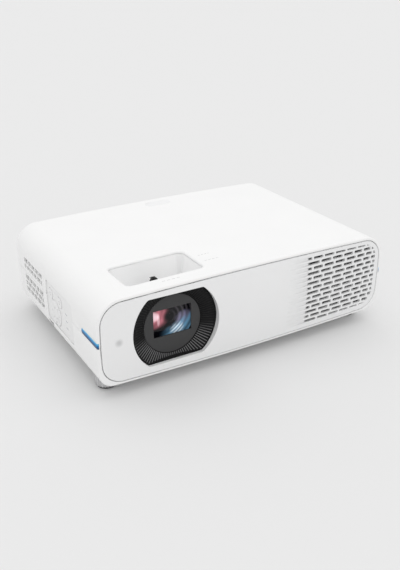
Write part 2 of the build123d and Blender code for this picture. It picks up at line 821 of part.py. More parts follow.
save(lens_glass(barrel_bore, rear_glass_edge, rear_glass_bulge, rear_glass_bulge,
                behind_rim(rear_glass_front)), "rear_lens_glass")

# ---------------------------------------------------------------- lever recess
with BuildPart() as adjustment_well:
    add(well_volume(well_wall, well_wall))
    with BuildSketch(level(top_z + 1, well_x, behind_rim((well_front + well_back) / 2))):
        RectangleRounded(well_width + 2 * well_flange, well_back - well_front + 2 * well_flange,
                         well_corner)
    extrude(amount=-wall - 1 - top_crown - well_wall)
    add(well_volume(0, 0), mode=Mode.SUBTRACT)
    for lever_y in (focus_lever_y, zoom_lever_y):
        reach = lever_base / 2 + (ring_radius + 4) * sin(radians(lever_swing)) + lever_clearance
        with BuildSketch(level(above_base(well_floor - well_wall - 1), lens_x, behind_rim(lever_y))):
            RectangleRounded(2 * reach, lever_length + 2 * lever_clearance, 1.5)
        extrude(amount=well_wall + 2, mode=Mode.SUBTRACT)
    add(inside, mode=Mode.INTERSECT)
save(adjustment_well.part, "adjustment_well")

# ---------------------------------------------------------------- badge and accent strips
save(badge_prism(0) & skin(0, badge_depth), "badge_plate")
with BuildPart() as accent_layer:
    add(outside.part)
    add(casing(accent_depth, rim_y - 1, back_y, 0), mode=Mode.SUBTRACT)
for side, name in ((-1, "left"), (1, "right")):
    save(accent_prism(side, 0) & accent_layer.part, f"accent_strip_{name}")

# ---------------------------------------------------------------- keypad
pad_plane_y = behind_rim(pad_y)
pad_plane_z = above_base(pad_z)
round_keys = {"key_power": (pad_plane_y + round_key_spread, pad_plane_z + round_key_rise),
              "key_source": (pad_plane_y - round_key_spread, pad_plane_z + round_key_rise),
              "key_ok": (pad_plane_y, pad_plane_z)}
key_inner_x = -width / 2 + key_depth


def key_plug(outline):
    """Key cut from the casing's outside: the outline runs through the wall to the keys' inner end"""
    with BuildPart() as plug:
        with BuildSketch(facing_right(-width / 2 - 1)):
            add(outline)
        extrude(amount=key_depth + 1)
        add(outside.part, mode=Mode.INTERSECT)
    return plug.part


def ring_key(turn):
    """Outline of one quarter of the ring of keys, turned about the ring's middle"""
    with BuildSketch() as quarter:
        with Locations((pad_plane_y, pad_plane_z)):
            Circle(pad_radius)
            Circle(key_radius + key_gap, mode=Mode.SUBTRACT)
            Rectangle(key_gap, 3 * pad_radius, rotation=45, mode=Mode.SUBTRACT)
            Rectangle(key_gap, 3 * pad_radius, rotation=-45, mode=Mode.SUBTRACT)
    far_out = (pad_plane_y + 99 * cos(turn), pad_plane_z + 99 * sin(turn), 0)
    return quarter.faces().sort_by_distance(far_out)[0]


for name, (y, z) in round_keys.items():
    with BuildSketch() as disc:
        with Locations((y, z)):
            Circle(key_radius)
    save(key_plug(disc.sketch), name)
for name, turn in (("key_left", 0), ("key_up", pi / 2), ("key_right", pi), ("key_down", -pi / 2)):
    save(key_plug(ring_key(turn)), name)

light_places = [(behind_rim(light_y), above_base(light_z + step * light_pitch)) for step in (-1, 0, 1)]
with BuildPart() as keypad_panel:
    add(keypad_prism(-key_gap) & skin(keypad_sink, wall))
    add(keypad_prism(keypad_flange) & skin(wall, wall + keypad_flange_wall))
    with BuildSketch(facing_right(-width / 2 - 1)):
        with Locations(*[place for name, place in round_keys.items() if name != "key_ok"]):
            Circle(key_radius + key_gap)
        with Locations((pad_plane_y, pad_plane_z)):
            Circle(pad_radius + key_gap)
        with Locations(*light_places):
            RectangleRounded(light_length, light_height, light_height / 2 - 0.05)
    extrude(amount=2 * wall + 8, mode=Mode.SUBTRACT)
save(keypad_panel.part, "keypad_panel")

with BuildPart() as indicator_lights:
    with BuildSketch(facing_right(-width / 2 - 1)):
        with Locations(*light_places):
            RectangleRounded(light_length, light_height, light_height / 2 - 0.05)
    extrude(amount=key_depth + 1)
    add(casing(keypad_sink, rim_y, back_y, 0), mode=Mode.INTERSECT)
save(indicator_lights.part, "indicator_lights")

switch_x = key_inner_x + switch_gap
key_places = list(round_keys.values()) + [
    (pad_plane_y + (pad_radius - 3) * dy, pad_plane_z + (pad_radius - 3) * dz)
    for dy, dz in ((1, 0), (0, 1), (-1, 0), (0, -1))]
with BuildPart() as keypad_board:
    with BuildSketch(facing_right(switch_x + switch_height, behind_rim(keypad_y), above_base(keypad_z))):
        Rectangle(keypad_width - 6, keypad_height - 6)
    extrude(amount=board_thickness)
    with BuildSketch(facing_right(switch_x)):
        with Locations(*key_places):
            Circle(switch_size / 4)
    extrude(amount=switch_height)
    with BuildSketch(facing_right(switch_x + switch_height / 2)):
        with Locations(*key_places[:2]):
            Rectangle(switch_size, switch_size)
    extrude(amount=switch_height / 2)
save(keypad_board.part, "keypad_board")

# ---------------------------------------------------------------- light engine
engine_middle_y = (engine_front_y + engine_back_y) / 2
led_xs = [lens_x + place for place in led_places]
right_wall_x = lens_x + engine_right
with BuildPart() as engine_housing:
    with BuildSketch(level(above_base(engine_low), engine_middle_x, engine_middle_y)):
        RectangleRounded(engine_left + engine_right, engine_depth, 3)
    extrude(amount=engine_high - engine_low - engine_wall)
    with BuildSketch(level(above_base(engine_low + engine_wall), engine_middle_x, engine_middle_y)):
        Rectangle(engine_left + engine_right - 2 * engine_wall, engine_depth - 2 * engine_wall)
    extrude(amount=engine_high, mode=Mode.SUBTRACT)
    with BuildSketch(across(engine_front_y + engine_wall + 1, lens_x, lens_z)):
        Circle(barrel_bore)
    extrude(amount=engine_wall + 2, mode=Mode.SUBTRACT)
    with BuildSketch(across(engine_back_y + 1, 0, lens_z)):
        with Locations((lens_x, 0)):
            Rectangle(chip_width - 8, chip_height - 6)
        with Locations(*[(x, 0) for x in led_xs]):
            Circle(led_bore)
    extrude(amount=engine_wall + 2, mode=Mode.SUBTRACT)
    with BuildSketch(facing_right(right_wall_x - engine_wall - 1, engine_middle_y, lens_z)):
        Circle(led_bore)
    extrude(amount=engine_wall + 2, mode=Mode.SUBTRACT)
save(engine_housing.part, "engine_housing")

with BuildPart() as engine_lid:
    with BuildSketch(level(above_base(engine_high - engine_wall), engine_middle_x, engine_middle_y)):
        RectangleRounded(engine_left + engine_right, engine_depth, 3)
    extrude(amount=engine_wall)
    with BuildSketch(level(above_base(engine_high), engine_middle_x, engine_middle_y)):
        with GridLocations(18, 1, 7, 1):
            Rectangle(1.6, engine_depth - 12)
    extrude(amount=1.2)
save(engine_lid.part, "engine_lid")

with BuildPart() as imaging_chip:
    with BuildSketch(across(engine_back_y + chip_thickness, lens_x, lens_z)):
        Rectangle(chip_width, chip_height)
    extrude(amount=chip_thickness)
save(imaging_chip.part, "imaging_chip")

with BuildPart() as imaging_board:
    with BuildSketch(across(engine_back_y + chip_thickness + board_thickness, lens_x, lens_z)):
        Rectangle(chip_width + 24, chip_height + 24)
    extrude(amount=board_thickness)
    with BuildSketch(across(engine_back_y + chip_thickness + board_thickness + 5, lens_x, lens_z)):
        with Locations((0, 12)):
            Rectangle(30, 8)
        with Locations((-14, -10), (12, -12)):
            Rectangle(9, 9)
    extrude(amount=5)
save(imaging_board.part, "imaging_board")

with BuildPart() as tir_prism:
    with BuildSketch(level(lens_z - prism_size / 2, lens_x,
                           engine_back_y - engine_wall - prism_size / 2 - 2)):
        Rectangle(prism_size, prism_size)
    extrude(amount=prism_size)
save(tir_prism.part, "tir_prism")

with BuildPart() as led_modules:
    with BuildSketch(across(engine_back_y + led_base, 0, lens_z)):
        with Locations(*[(x, 0) for x in led_xs]):
            RectangleRounded(led_width, led_height, 2)
    extrude(amount=led_base)
    with BuildSketch(across(engine_back_y, 0, lens_z)):
        with Locations(*[(x, 0) for x in led_xs]):
            Circle(led_dome)
    extrude(amount=engine_wall)
    with BuildSketch(facing_right(right_wall_x, engine_middle_y, lens_z)):
        RectangleRounded(led_width, led_height, 2)
    extrude(amount=led_base)
    with BuildSketch(facing_right(right_wall_x - engine_wall, engine_middle_y, lens_z)):
        Circle(led_dome)
    extrude(amount=engine_wall)
save(led_modules.part, "led_modules")

with BuildPart() as condenser_lenses:
    with BuildSketch(across(engine_back_y - engine_wall - 1, 0, lens_z)):
        with Locations(*[(x, 0) for x in led_xs]):
            Circle(condenser_radius)
    extrude(amount=3)
    with BuildSketch(facing_right(right_wall_x - engine_wall - 4, engine_middle_y, lens_z)):
        Circle(condenser_radius)
    extrude(amount=3)
    fillet(condenser_lenses.edges().filter_by(GeomType.CIRCLE), 1.2)
save(condenser_lenses.part, "condenser_lenses")

with BuildPart() as dichroic_mirrors:
    for x in led_xs:
        middle = Plane((x, engine_middle_y - 5, lens_z - mirror_height / 2), x_dir=(1, 1, 0), z_dir=(0, 0, 1))
        with BuildSketch(middle):
            Rectangle(mirror_width, mirror_thickness)
        extrude(amount=mirror_height)
save(dichroic_mirrors.part, "dichroic_mirrors")

# ---------------------------------------------------------------- cooling
sink_middle_x = (heatsink_left + heatsink_right) / 2
sink_middle_y = behind_rim((heatsink_front + heatsink_back) / 2)
fin_count = int((heatsink_right - heatsink_left) / fin_pitch)
rear_fin_count = 15
rear_sink_x = (led_xs[0] + led_xs[1]) / 2
rear_sink_front = engine_back_y + led_base
with BuildPart() as led_heatsinks:
    with BuildSketch(level(above_base(heatsink_low), sink_middle_x, sink_middle_y)):
        Rectangle(heatsink_right - heatsink_left, heatsink_back - heatsink_front)
    extrude(amount=sink_base)
    with BuildSketch(level(above_base(heatsink_low), sink_middle_x, sink_middle_y)):
        with GridLocations(fin_pitch, 1, fin_count, 1):
            Rectangle(fin_thickness, heatsink_back - heatsink_front)
    extrude(amount=heatsink_high - heatsink_low)
    with BuildSketch(facing_right(heatsink_left - 1, engine_middle_y, 0)):
        with Locations(*[(0, above_base(height)) for height in pipe_heights]):
            Circle(pipe_radius)
    extrude(amount=heatsink_right, mode=Mode.SUBTRACT)
    with BuildSketch(level(above_base(heatsink_low), rear_sink_x, rear_sink_front + sink_base / 2)):
        Rectangle(led_xs[1] - led_xs[0] + led_width, sink_base)
        with Locations((0, sink_base / 2 + rear_sink_depth / 2)):
            with GridLocations(fin_pitch, 1, rear_fin_count, 1):
                Rectangle(fin_thickness, rear_sink_depth)
    extrude(amount=heatsink_high - heatsink_low)
save(led_heatsinks.part, "led_heatsinks")

pipe_start = right_wall_x + led_base
with BuildPart() as heat_pipes:
    with BuildSketch(facing_right(pipe_start, engine_middle_y, lens_z)):
        Rectangle(led_width, led_height + 6)
    extrude(amount=pipe_radius)
    with BuildSketch(facing_right(pipe_start + pipe_radius / 2, engine_middle_y, 0)):
        with Locations(*[(0, above_base(height)) for height in pipe_heights]):
            Circle(pipe_radius)
    extrude(amount=heatsink_right - pipe_start)
save(heat_pipes.part, "heat_pipes")


def fan_frame(back, size, thickness):
    """Square fan frame whose back lies on the plane back: bore, corner holes, struts and bearing"""
    bore = size / 2 - fan_wall
    hub = bore * fan_hub
    with BuildPart() as frame:
        with BuildSketch(back):
            RectangleRounded(size, size, fan_corner)
            Circle(bore, mode=Mode.SUBTRACT)
            with GridLocations(size - 2 * fan_hole_inset, size - 2 * fan_hole_inset, 2, 2):
                Circle(fan_hole_radius, mode=Mode.SUBTRACT)
        extrude(amount=thickness)
        with BuildSketch(back):
            Circle(hub)
            with PolarLocations(bore / 2 + hub / 4, 4, start_angle=20):
                Rectangle(bore - hub / 2 + 1, strut_width)
        extrude(amount=strut_thickness)
        with BuildSketch(back):
            Circle(hub / 2)
        extrude(amount=thickness / 2)
        with BuildSketch(back.offset(strut_thickness)):
            Circle(fan_shaft + ring_fit)
        extrude(amount=thickness, mode=Mode.SUBTRACT)
    return frame.part


def fan_rotor(back, size, thickness):
    """Rotor of a fan: cup, shaft and pitched blades"""
    bore = size / 2 - fan_wall
    hub = bore * fan_hub
    tip = bore - fan_tip_gap
    low = strut_thickness + 1.2
    high = thickness - 1.2
    with BuildPart() as rotor:
        with BuildSketch(back.offset(low)):
            Circle(hub)
        extrude(amount=high - low)
        with BuildSketch(back.offset(low)):
            Circle(hub / 2 + 1)
        extrude(amount=thickness / 2 + 1 - low, mode=Mode.SUBTRACT)
        with BuildSketch(back.offset(low)):
            Circle(fan_shaft)
        extrude(amount=high - low)
        with Locations(back):
            with PolarLocations(0, fan_blades):
                with Locations(Location(((hub + tip) / 2 - 0.5, 0, (low + high) / 2), (blade_pitch, 0, 0))):
                    Box(tip - hub + 2, (high - low) * 1.25, blade_thickness)
        with BuildSketch(back.offset(low)):
            Circle(tip)
        extrude(amount=high - low, mode=Mode.INTERSECT)
    return rotor.part


exhaust_back = across(behind_rim(fan_front + fan_depth), fan_x, above_base(fan_height))
save(fan_frame(exhaust_back, fan_size, fan_depth), "exhaust_fan_frame")
save(fan_rotor(exhaust_back, fan_size, fan_depth), "exhaust_fan_rotor")
intake_x = -width / 2 + wall + side_bow + 2
intake_back = Plane(origin=(intake_x + intake_depth, behind_rim(intake_y), above_base(intake_height)),
                    x_dir=(0, 1, 0), z_dir=(-1, 0, 0))
save(fan_frame(intake_back, intake_size, intake_depth), "intake_fan_frame")
save(fan_rotor(intake_back, intake_size, intake_depth), "intake_fan_rotor")

# ---------------------------------------------------------------- boards
board_z = above_base(socket_board_low)
socket_z = board_z + board_thickness
board_back = back_y - wall - rear_flange_wall - fit_gap
with BuildPart() as main_board:
    board_x = (socket_board_left + socket_board_right) / 2
    board_y = (behind_rim(socket_board_front) + board_back) / 2
    with BuildSketch(level(board_z, board_x, board_y)):
        Rectangle(socket_board_right - socket_board_left, board_back - behind_rim(socket_board_front))
    extrude(amount=board_thickness)
    with BuildSketch(level(socket_z, board_x, board_y)):
        with Locations((-30, -16), (12, -14)):
            Rectangle(24, 24)
        with Locations((44, -20), (44, -4)):
            Rectangle(12, 10)
    extrude(amount=2.4)
    with BuildSketch(level(socket_z, board_x, board_y)):
        with Locations((-60, -18), (-60, -8), (62, -18)):
            Circle(3.2)
    extrude(amount=9)
save(main_board.part, "main_board")

with BuildPart() as power_supply:
    supply_x = (supply_left + supply_right) / 2
    supply_back = board_back - 14
    supply_y = (behind_rim(supply_front) + supply_back) / 2
    with BuildSketch(level(above_base(supply_low), supply_x, supply_y)):
        Rectangle(supply_right - supply_left, supply_back - behind_rim(supply_front))
    extrude(amount=board_thickness)
    with BuildSketch(level(above_base(supply_low) + board_thickness, supply_x, supply_y)):
        with Locations((-14, -6)):
            RectangleRounded(28, 24, 2)
    extrude(amount=22)
    with BuildSketch(level(above_base(supply_low) + board_thickness, supply_x, supply_y)):
        with Locations((14, 14), (14, -6)):
            Circle(8)
        with Locations((27, 0)):
            Rectangle(3, 50)
    extrude(amount=30)
    with BuildSketch(level(above_base(supply_low) + board_thickness, supply_x, supply_y)):
        with Locations((-20, 20), (-6, 20)):
            Circle(5)
    extrude(amount=14)
save(power_supply.part, "power_supply")


# ---------------------------------------------------------------- rear panel and sockets
def socket_middle(mouth_size):
    """Height of a socket's middle when its shell stands on the main board"""
    return socket_z + socket_wall + mouth_size[1] / 2


def socket(places, size, length, tongue):
    """Open shells that stand on the main board, mouths in the rear panel, each with a tongue inside"""
    middle = socket_middle(size)
    with BuildPart() as shells:
        with BuildSketch(across(mouth_y, 0, middle)):
            with Locations(*[(x, 0) for x in places]):
                RectangleRounded(size[0] + 2 * socket_wall, size[1] + 2 * socket_wall, 0.8)
        extrude(amount=length + socket_wall)
        with BuildSketch(across(mouth_y, 0, middle)):
            with Locations(*[(x, 0) for x in places]):
                RectangleRounded(size[0], size[1], 0.5)
        extrude(amount=length, mode=Mode.SUBTRACT)
        with BuildSketch(across(mouth_y - length / 3, 0, middle + tongue[2])):
            with Locations(*[(x, 0) for x in places]):
                Rectangle(tongue[0], tongue[1])
        extrude(amount=length * 2 / 3)
    return shells.part


serial_z = socket_z + 6.5
audio_z = socket_z + audio_nose + 0.6
inlet_plane_z = above_base(inlet_z)
save(socket(hdmi_places, hdmi_mouth, hdmi_depth, (11.0, 1.0, 0.4)), "hdmi_sockets")
save(socket([usb_x], usb_mouth, usb_depth, (11.0, 1.8, 1.2)), "usb_socket")
save(socket([lan_x], lan_mouth, lan_depth, (8.0, 1.4, 3.2)), "lan_socket")

with BuildPart() as serial_port:
    with BuildSketch(across(mouth_y, serial_x, serial_z)):
        RectangleRounded(serial_width, serial_height + 3.4, 1.5)
        with GridLocations(serial_width - 6, 1, 2, 1):
            Circle(1.5, mode=Mode.SUBTRACT)
    extrude(amount=4)
    with BuildSketch(across(mouth_y - 4, serial_x, serial_z)):
        Rectangle(serial_shell + 2, serial_height + 2)
    extrude(amount=7)
    with BuildSketch(across(mouth_y, serial_x, serial_z)):
        Trapezoid(serial_shell, serial_height, 80, rotation=180)
    extrude(amount=6, mode=Mode.SUBTRACT)
    with BuildSketch(across(mouth_y - 1, serial_x, serial_z)):
        with Locations((0, 1.4)):
            with GridLocations(2.7, 1, 5, 1):
                Circle(serial_pin)
        with Locations((0, -1.4)):
            with GridLocations(2.7, 1, 4, 1):
                Circle(serial_pin)
    extrude(amount=5)
save(serial_port.part, "serial_port")

with BuildPart() as audio_jacks:
    with BuildSketch(across(board_back, 0, audio_z)):
        with Locations(*[(x, 0) for x in audio_places]):
            Rectangle(2 * audio_nose + 1, 2 * audio_nose + 1)
    extrude(amount=audio_body)
    with BuildSketch(across(mouth_y, 0, audio_z)):
        with Locations(*[(x, 0) for x in audio_places]):
            Circle(audio_nose)
    extrude(amount=mouth_y - board_back)
    with BuildSketch(across(mouth_y, 0, audio_z)):
        with Locations(*[(x, 0) for x in audio_places]):
            Circle(audio_bore)
    extrude(amount=audio_body, mode=Mode.SUBTRACT)
save(audio_jacks.part, "audio_jacks")

with BuildPart() as ac_inlet:
    with BuildSketch(across(mouth_y, inlet_x, inlet_plane_z)):
        RectangleRounded(inlet_mouth[0] + 2 * inlet_wall, inlet_mouth[1] + 2 * inlet_wall, 2)
    extrude(amount=inlet_depth + 2)
    with BuildSketch(across(mouth_y, inlet_x, inlet_plane_z)) as inlet_outline:
        Rectangle(*inlet_mouth)
        chamfer(inlet_outline.vertices().group_by(Axis.Y)[-1], 4.5)
        fillet(inlet_outline.vertices().group_by(Axis.Y)[0], 1.5)
    extrude(amount=inlet_depth, mode=Mode.SUBTRACT)
    with BuildSketch(across(mouth_y - 3, inlet_x, inlet_plane_z)):
        with Locations((-7, -1.5), (0, 2.5), (7, -1.5)):
            Rectangle(2, 4)
    extrude(amount=inlet_depth - 3)
save(ac_inlet.part, "ac_inlet")

with BuildPart() as rear_panel:
    add(rear_prism(-fit_gap, back_y - wall - rear_flange_wall, mouth_y))
    add(rear_prism(rear_flange, back_y - wall - rear_flange_wall, back_y - wall) & inside)
    for places, size in ((hdmi_places, hdmi_mouth), ([usb_x], usb_mouth), ([lan_x], lan_mouth)):
        with BuildSketch(across(back_y, 0, socket_middle(size))):
            with Locations(*[(x, 0) for x in places]):
                RectangleRounded(size[0] + 2 * (socket_wall + socket_play),
                                 size[1] + 2 * (socket_wall + socket_play), 0.9)
        extrude(amount=depth / 4, mode=Mode.SUBTRACT)
    with BuildSketch(across(back_y)):
        with Locations((serial_x, serial_z)):
            RectangleRounded(serial_width + 2 * socket_play, serial_height + 3.4 + 2 * socket_play, 1.6)
        with Locations(*[(x, audio_z) for x in audio_places]):
            Circle(audio_nose + socket_play)
        with Locations((inlet_x, inlet_plane_z)):
            RectangleRounded(inlet_mouth[0] + 2 * (inlet_wall + socket_play),
                             inlet_mouth[1] + 2 * (inlet_wall + socket_play), 2.1)
    extrude(amount=depth / 4, mode=Mode.SUBTRACT)
    with BuildSketch(across(back_y, -30, above_base(rear_high - 9))):
        with GridLocations(7, 5.4, 16, 2):
            SlotOverall(5.2, 2.2)
    extrude(amount=depth / 4, mode=Mode.SUBTRACT)
save(rear_panel.part, "rear_panel")

# ---------------------------------------------------------------- speaker
speaker_back = facing_right(width / 2 - wall - side_bow - 2, behind_rim(speaker_y),
                            above_base(speaker_height))
with BuildPart() as speaker:
    with BuildSketch(speaker_back):
        RectangleRounded(speaker_size, speaker_size, 4)
    extrude(amount=-2)
    with BuildSketch(speaker_back.offset(-2)):
        Circle(speaker_size / 2 - 1.5)
    with BuildSketch(speaker_back.offset(-speaker_depth + 9)):
        Circle(speaker_size / 3)
    loft()
    with BuildSketch(speaker_back.offset(-speaker_depth + 9)):
        Circle(speaker_size / 3)
    extrude(amount=-9)
    with BuildSketch(speaker_back):
        Circle(speaker_size / 2 - 3)
    with BuildSketch(speaker_back.offset(-9)):
        Circle(speaker_size / 6)
    loft(mode=Mode.SUBTRACT)
save(speaker.part, "speaker")

# ---------------------------------------------------------------- feet
head_low_z = pad_thickness + contact_gap
for (x, y), name in zip(foot_places, ("left", "right")):
    with BuildPart() as foot_pad:
        with BuildSketch(level(0, x, y)):
            Circle(pad_radius_foot)
        extrude(amount=pad_thickness)
        fillet(foot_pad.edges().group_by(Axis.Z)[0], 0.6)
        with BuildSketch(level(pad_thickness, x, y)):
            Circle(swivel_radius)
        extrude(amount=swivel_length)
    save(foot_pad.part, f"foot_pad_{name}")
    with BuildPart() as foot_screw:
        with BuildSketch(level(head_low_z, x, y)):
            Circle(screw_head_radius - rib_radius)
            with PolarLocations(screw_head_radius - rib_radius, screw_ribs):
                Circle(rib_radius)
        extrude(amount=screw_head_height - contact_gap)
        with BuildSketch(level(head_low_z + screw_head_height - contact_gap, x, y)):
            Circle(stud_radius)
        extrude(amount=stud_length - 4)
        with BuildSketch(level(head_low_z, x, y)):
            Circle(swivel_radius + ring_fit)
        extrude(amount=swivel_length + fit_gap, mode=Mode.SUBTRACT)
    save(foot_screw.part, f"foot_screw_{name}")

rear_foot_places = [(side * rear_foot_x, behind_rim(rear_foot_y)) for side in (-1, 1)]
with BuildPart() as rear_feet:
    with BuildSketch(level(0)):
        with Locations(*rear_foot_places):
            Circle(rear_foot_radius)
    extrude(amount=foot_height + bottom_crown, taper=-4)
    add(outside.part, mode=Mode.SUBTRACT)
    fillet(rear_feet.edges().group_by(Axis.Z)[0], 1.0)
save(rear_feet.part, "rear_feet")

# ---------------------------------------------------------------- inserts and screws
with BuildPart() as ceiling_inserts:
    with BuildSketch(level(insert_low_z)):
        with Locations(*insert_places):
            Circle(insert_radius)
            Circle(insert_bore, mode=Mode.SUBTRACT)
    extrude(amount=insert_length)
save(ceiling_inserts.part, "ceiling_inserts")

with BuildPart() as cover_screws:
    with BuildSketch(level(head_top_z - cover_head_height)):
        for x, distance in cover_screw_places:
            with Locations((x, behind_rim(distance))):
                Circle(cover_screw_head)
                RegularPolygon(cover_screw_head / 2, 6, mode=Mode.SUBTRACT)
    extrude(amount=cover_head_height)
    with BuildSketch(level(head_top_z - cover_head_height / 2)):
        for x, distance in cover_screw_places:
            with Locations((x, behind_rim(distance))):
                Circle(cover_screw_radius * 2)
    extrude(amount=cover_head_height / 2)
    with BuildSketch(level(head_top_z)):
        for x, distance in cover_screw_places:
            with Locations((x, behind_rim(distance))):
                Circle(cover_screw_radius)
    extrude(amount=cover_screw_bridge + cover_screw_bite)
save(cover_screws.part, "cover_screws")
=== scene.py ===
"""Home projector: the looks of its casing, lens, vents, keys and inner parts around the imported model"""
import json
from math import cos, pi, radians, sin

import bmesh
import bpy
from mathutils import Matrix, Vector
from mathutils.bvhtree import BVHTree


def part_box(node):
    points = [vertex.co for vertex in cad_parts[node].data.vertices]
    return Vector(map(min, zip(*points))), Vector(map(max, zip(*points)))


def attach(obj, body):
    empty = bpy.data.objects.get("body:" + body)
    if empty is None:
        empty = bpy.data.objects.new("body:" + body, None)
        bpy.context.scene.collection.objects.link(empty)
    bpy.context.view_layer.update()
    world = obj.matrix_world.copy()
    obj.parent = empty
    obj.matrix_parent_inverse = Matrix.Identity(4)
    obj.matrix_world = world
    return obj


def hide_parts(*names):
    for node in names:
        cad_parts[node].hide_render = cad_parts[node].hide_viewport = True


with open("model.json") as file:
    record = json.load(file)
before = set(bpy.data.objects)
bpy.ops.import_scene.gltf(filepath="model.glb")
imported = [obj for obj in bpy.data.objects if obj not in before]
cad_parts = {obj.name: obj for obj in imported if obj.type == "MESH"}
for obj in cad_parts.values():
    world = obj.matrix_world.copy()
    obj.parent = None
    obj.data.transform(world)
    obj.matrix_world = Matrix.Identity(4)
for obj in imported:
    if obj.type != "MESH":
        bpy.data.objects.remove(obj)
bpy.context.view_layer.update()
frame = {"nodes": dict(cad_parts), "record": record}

# ---------------------------------------------------------------- top and bottom cover
# Two white injection-moulded shells of about 2.3 mm that meet on a line round the middle.  Their
# outside has a fine spark-eroded grain; five screws from below hold them together.
grain_size = 0.00045
grain_depth = 0.00002
cover_white = (0.93, 0.93, 0.928)
millimetre = 0.001


class Wire:
    """A shader socket that can stand in a sum; the sum adds the maths nodes it needs"""

    def __init__(self, finish, socket):
        self.finish = finish
        self.socket = socket

    def maths(self, operation, *others):
        values = dict(enumerate((self,) + others))
        return self.finish.node("ShaderNodeMath", {"operation": operation}, values)

    def __add__(self, other):
        return self.maths("ADD", other)

    def __radd__(self, other):
        return self.maths("ADD", other)

    def __sub__(self, other):
        return self.maths("SUBTRACT", other)

    def __rsub__(self, other):
        return (self * -1).maths("ADD", other)

    def __mul__(self, other):
        return self.maths("MULTIPLY", other)

    def __rmul__(self, other):
        return self.maths("MULTIPLY", other)

    def __truediv__(self, other):
        return self.maths("DIVIDE", other)

    def __pow__(self, other):
        return self.maths("POWER", other)


class Finish:
    """A material on the principled shader; constants go on the shader's own sockets"""

    def __init__(self, name, colour, roughness, **constants):
        self.material = bpy.data.materials.new(name)
        self.material.use_nodes = True
        self.tree = self.material.node_tree
        self.shader = self.tree.nodes["Principled BSDF"]
        self.shader.inputs["Base Color"].default_value = (*colour, 1)
        self.shader.inputs["Roughness"].default_value = roughness
        for name, value in constants.items():
            self.shader.inputs[name.replace("_", " ")].default_value = value

    def node(self, kind, settings, values, output=0):
        """Adds a node: its settings first, then the value or link of each socket"""
        added = self.tree.nodes.new(kind)
        for name, value in settings.items():
            if name == "stops":
                for step, (place, colour) in enumerate(value):
                    ramp = added.color_ramp.elements
                    stop = ramp[step] if step < 2 else ramp.new(place)
                    stop.position = place
                    stop.color = colour
            else:
                setattr(added, name, value)
        for name, value in values.items():
            if isinstance(value, Wire):
                self.tree.links.new(value.socket, added.inputs[name])
            else:
                added.inputs[name].default_value = value
        return Wire(self, added.outputs[output])

    def feed(self, name, value):
        self.tree.links.new(value.socket, self.shader.inputs[name])

    def place(self):
        """Object coordinates, which are the row's own metres"""
        return self.node("ShaderNodeTexCoord", {}, {}, "Object")

    def part(self, vector, axis):
        return self.node("ShaderNodeSeparateXYZ", {}, {0: vector}, axis)

    def noise(self, size, detail=2.0, stretch=(1, 1, 1)):
        spread = self.node("ShaderNodeVectorMath", {"operation": "MULTIPLY"}, {0: self.place(), 1: stretch})
        return self.node("ShaderNodeTexNoise", {}, {"Vector": spread, "Scale": 1 / size, "Detail": detail})

    def blend(self, share, low, high):
        """Colour between low and high"""
        return self.node("ShaderNodeMix", {"data_type": "RGBA"}, {0: share, 6: (*low, 1), 7: (*high, 1)}, 2)

    def window(self, value, low, high):
        """0 below low, 1 above high, smooth between"""
        return self.node("ShaderNodeMapRange", {"interpolation_type": "SMOOTHSTEP"},
                         {0: value, 1: low, 2: high, 3: 0.0, 4: 1.0})

    def emboss(self, height, distance, strength=1.0):
        self.feed("Normal", self.node("ShaderNodeBump", {}, {"Height": height, "Distance": distance,
                                                               "Strength": strength}))


def moulded(name, colour, roughness=0.45, size=grain_size, depth=grain_depth, **constants):
    """Moulded plastic: fine grain, faint clouding of tone and gloss"""
    plastic = Finish(name, colour, roughness, **constants)
    cloud = plastic.noise(0.05, 3.0)
    darker = tuple(channel * 0.965 for channel in colour)
    plastic.feed("Base Color", plastic.blend(cloud, darker, colour))
    grain = plastic.noise(size, 3.0)
    plastic.feed("Roughness", plastic.window(grain, 0.2, 0.8) * 0.1 + (roughness - 0.05))
    plastic.emboss(grain, depth, 0.6)
    return plastic.material


def joined(node, crease=32):
    """Copy of a CAD node with its loose triangles joined and its gentle edges shaded smooth"""
    mesh = frame["nodes"][node].data.copy()
    mesh.materials.clear()
    mesh.name = node + "_mesh"
    work = bmesh.new()
    work.from_mesh(mesh)
    bmesh.ops.remove_doubles(work, verts=work.verts, dist=0.01 * millimetre)
    bmesh.ops.dissolve_degenerate(work, edges=work.edges, dist=0.001 * millimetre)
    for face in work.faces:
        face.smooth = True
    work.to_mesh(mesh)
    work.free()
    mesh.set_sharp_from_angle(angle=radians(crease))
    return mesh


def show(mesh, name, finish, body):
    """Puts a finished mesh in the scene on its body"""
    piece = bpy.data.objects.new(name, mesh)
    bpy.context.scene.collection.objects.link(piece)
    piece.data.materials.clear()
    piece.data.materials.append(finish)
    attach(piece, body)
    return piece


body_of = {node: body for body, nodes in frame["record"]["behaviour"]["bodies"].items() for node in nodes}


def dressed(node, finish, crease=32):
    """The smooth copy of a CAD node in its finish, shown in the node's place"""
    piece = show(joined(node, crease), node + "_finished", finish, body_of[node])
    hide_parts(node)
    return piece


def even_shading(piece):
    """Lets large faces set the normals, so broad curved faces shade without streaks"""
    even = piece.modifiers.new("even_shading", "WEIGHTED_NORMAL")
    even.keep_sharp = True
    even.weight = 80


white_casing = moulded("white_casing", cover_white, 0.5)
for cover in ("top_cover", "bottom_cover"):
    even_shading(dressed(cover, white_casing))

# ---------------------------------------------------------------- rear panel
# White panel that drops between the covers and holds the sockets; moulded like them.
even_shading(dressed("rear_panel", moulded("white_rear_panel", cover_white, 0.5)))

# ---------------------------------------------------------------- lever recess
# Tapered tub moulded in the same white, smoother than the top.  It is glued under the top cover and
# has a slot for each lever in its floor.
# Painted light: the tub's white is painted a little lighter than the covers' white, to stand in for light in
# the recess.
even_shading(dressed("adjustment_well", moulded("white_recess", (0.96, 0.96, 0.96), 0.42)))

